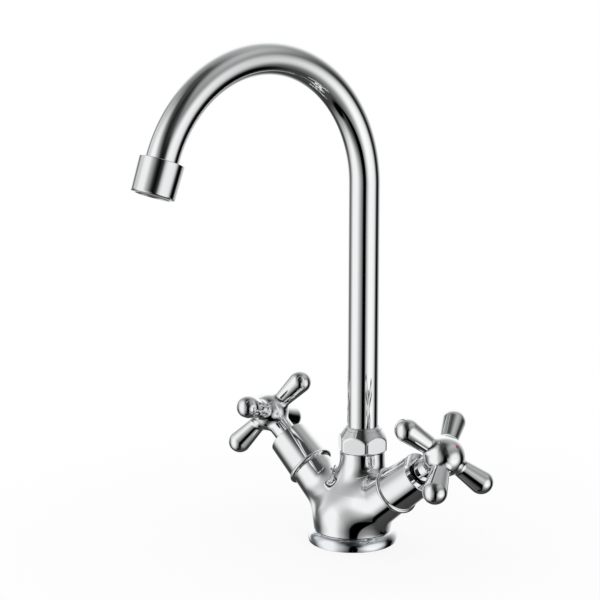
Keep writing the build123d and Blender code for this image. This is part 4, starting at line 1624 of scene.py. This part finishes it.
@dataclass(frozen=True)
class Studio:
    """A pale floor, a surround of softboxes and flags for the mirror finish, and the camera."""

    floor_radius: float = 0.45
    floor_tone: float = 0.97
    shadow_share: float = 0.17
    shadow_reach: tuple[float, float] = (0.08, 0.36)
    surround: float = 0.9
    red_share: float = 0.995
    camera_turn: float = 43.2
    room: tuple[float, float, float] = (0.061, 0.02, 0.069)
    camera_spot: tuple[float, float, float] = (0.75056, -0.798, 0.36849)
    camera_aim: tuple[float, float, float] = (-0.69446, 0.69414, -0.1893)
    lens: float = 106.13
    sensor: float = 36.0
    clip: tuple[float, float] = (0.01, 20.0)

    def floor(self) -> None:
        """Lays the floor: near white to the camera, with the object's shadow on it."""
        bpy.ops.mesh.primitive_circle_add(vertices=256, radius=self.floor_radius,
                                          fill_type="NGON")
        floor = bpy.context.object
        floor.name = "studio_floor"
        material, recipe = new_material("pale_floor")
        seen = recipe.node("ShaderNodeLightPath", output="Is Camera Ray")
        mirrored = recipe.node("ShaderNodeLightPath", output="Is Glossy Ray")
        spot = recipe.node("ShaderNodeTexCoord", output="Object")
        reach = recipe.node("ShaderNodeVectorMath", {"operation": "LENGTH"}, {0: spot}, "Value")
        fade = recipe.node("ShaderNodeMapRange", {"interpolation_type": "SMOOTHSTEP"}, {
            "Value": reach, "From Min": self.shadow_reach[0], "From Max": self.shadow_reach[1]})
        paper = recipe.node("ShaderNodeBsdfDiffuse", {}, {
            "Color": (self.floor_tone,) * 3 + (1,)})
        white = recipe.node("ShaderNodeEmission", {}, {"Color": WHITE, "Strength": 1.0})
        clear = recipe.node("ShaderNodeBsdfTransparent")
        share = seen * (1 - self.shadow_share + self.shadow_share * fade)
        shader = recipe.node("ShaderNodeMixShader", {}, {0: share, 1: paper, 2: white})
        recipe.node_output(recipe.node("ShaderNodeMixShader", {}, {
            0: mirrored, 1: shader, 2: clear}))
        floor.data.materials.append(material)

    def world(self) -> None:
        """Sets the surround: white to the camera, softboxes and flags to the mirror finish."""
        world = bpy.data.worlds.new("studio")
        bpy.context.scene.world = world
        world.use_nodes = True
        recipe = Recipe(world.node_tree)
        way = recipe.node("ShaderNodeTexCoord", output="Generated")
        x, y, z = (recipe.node("ShaderNodeSeparateXYZ", {}, {0: way}, output=axis)
                   for axis in "XYZ")
        azimuth = x.bearing(0 - y) * math.degrees(1) - self.camera_turn
        elevation = z.arcsine() * math.degrees(1)
        low, level, high = self.room
        light = level + (high - level) / 90 * elevation.most(0.0)
        light = light + (level - low) / 90 * elevation.least(0.0)
        for panel in Surround:
            share = panel.value.share(recipe, azimuth, elevation)
            light = light * (1 - share) if panel.value.dark else light + share
        light = light.least(1.0)
        panels = recipe.node("ShaderNodeCombineColor", {}, {
            "Red": light * self.red_share, "Green": light, "Blue": light})
        mirror, plain, white = (
            recipe.node("ShaderNodeBackground", {}, {"Color": colour, "Strength": strength})
            for colour, strength in ((panels, 1.0), (WHITE, self.surround), (WHITE, 1.0)))
        glossy = recipe.node("ShaderNodeLightPath", output="Is Glossy Ray")
        seen = recipe.node("ShaderNodeLightPath", output="Is Camera Ray")
        shader = recipe.node("ShaderNodeMixShader", {}, {0: glossy, 1: plain, 2: mirror})
        shader = recipe.node("ShaderNodeMixShader", {}, {0: seen, 1: shader, 2: white})
        recipe.node_output(shader, "ShaderNodeOutputWorld")

    def camera(self) -> None:
        """Sets the camera at the photograph's own angle and lens."""
        data = bpy.data.cameras.new("photo_camera")
        data.lens, data.sensor_width = self.lens, self.sensor
        data.clip_start, data.clip_end = self.clip
        camera = bpy.data.objects.new("photo_camera", data)
        bpy.context.scene.collection.objects.link(camera)
        camera.location = self.camera_spot
        camera.rotation_euler = Vector(self.camera_aim).to_track_quat("-Z", "Y").to_euler()
        bpy.context.scene.camera = camera

    def build(self) -> None:
        """Sets up the floor, the light and the camera."""
        self.floor()
        self.world()
        self.camera()
        bpy.context.scene.view_settings.view_transform = "Standard"


def main() -> None:
    """Builds the tap's looks piece by piece, then the studio."""
    logging.basicConfig(level=logging.INFO, format="%(name)s: %(message)s")
    finishes = Finishes()
    finishes.dress_nodes()
    made = [BodyCasting().build(finishes), BaseRing().build(finishes), SpoutNut().build(finishes)]
    made += Spout().build(finishes)
    for side, angle, dot in (("hot", 41.3, Slot.RED), ("cold", 24.5, Slot.BLUE)):
        made.append(ValveSleeve(side).build(finishes))
        made += CrossHandle(side, angle, dot).build(finishes)
    for piece in made:
        LOG.info("%s: %d vertices", piece.name, len(piece.data.vertices))
    Studio().build()


if __name__ == "__main__":
    main()
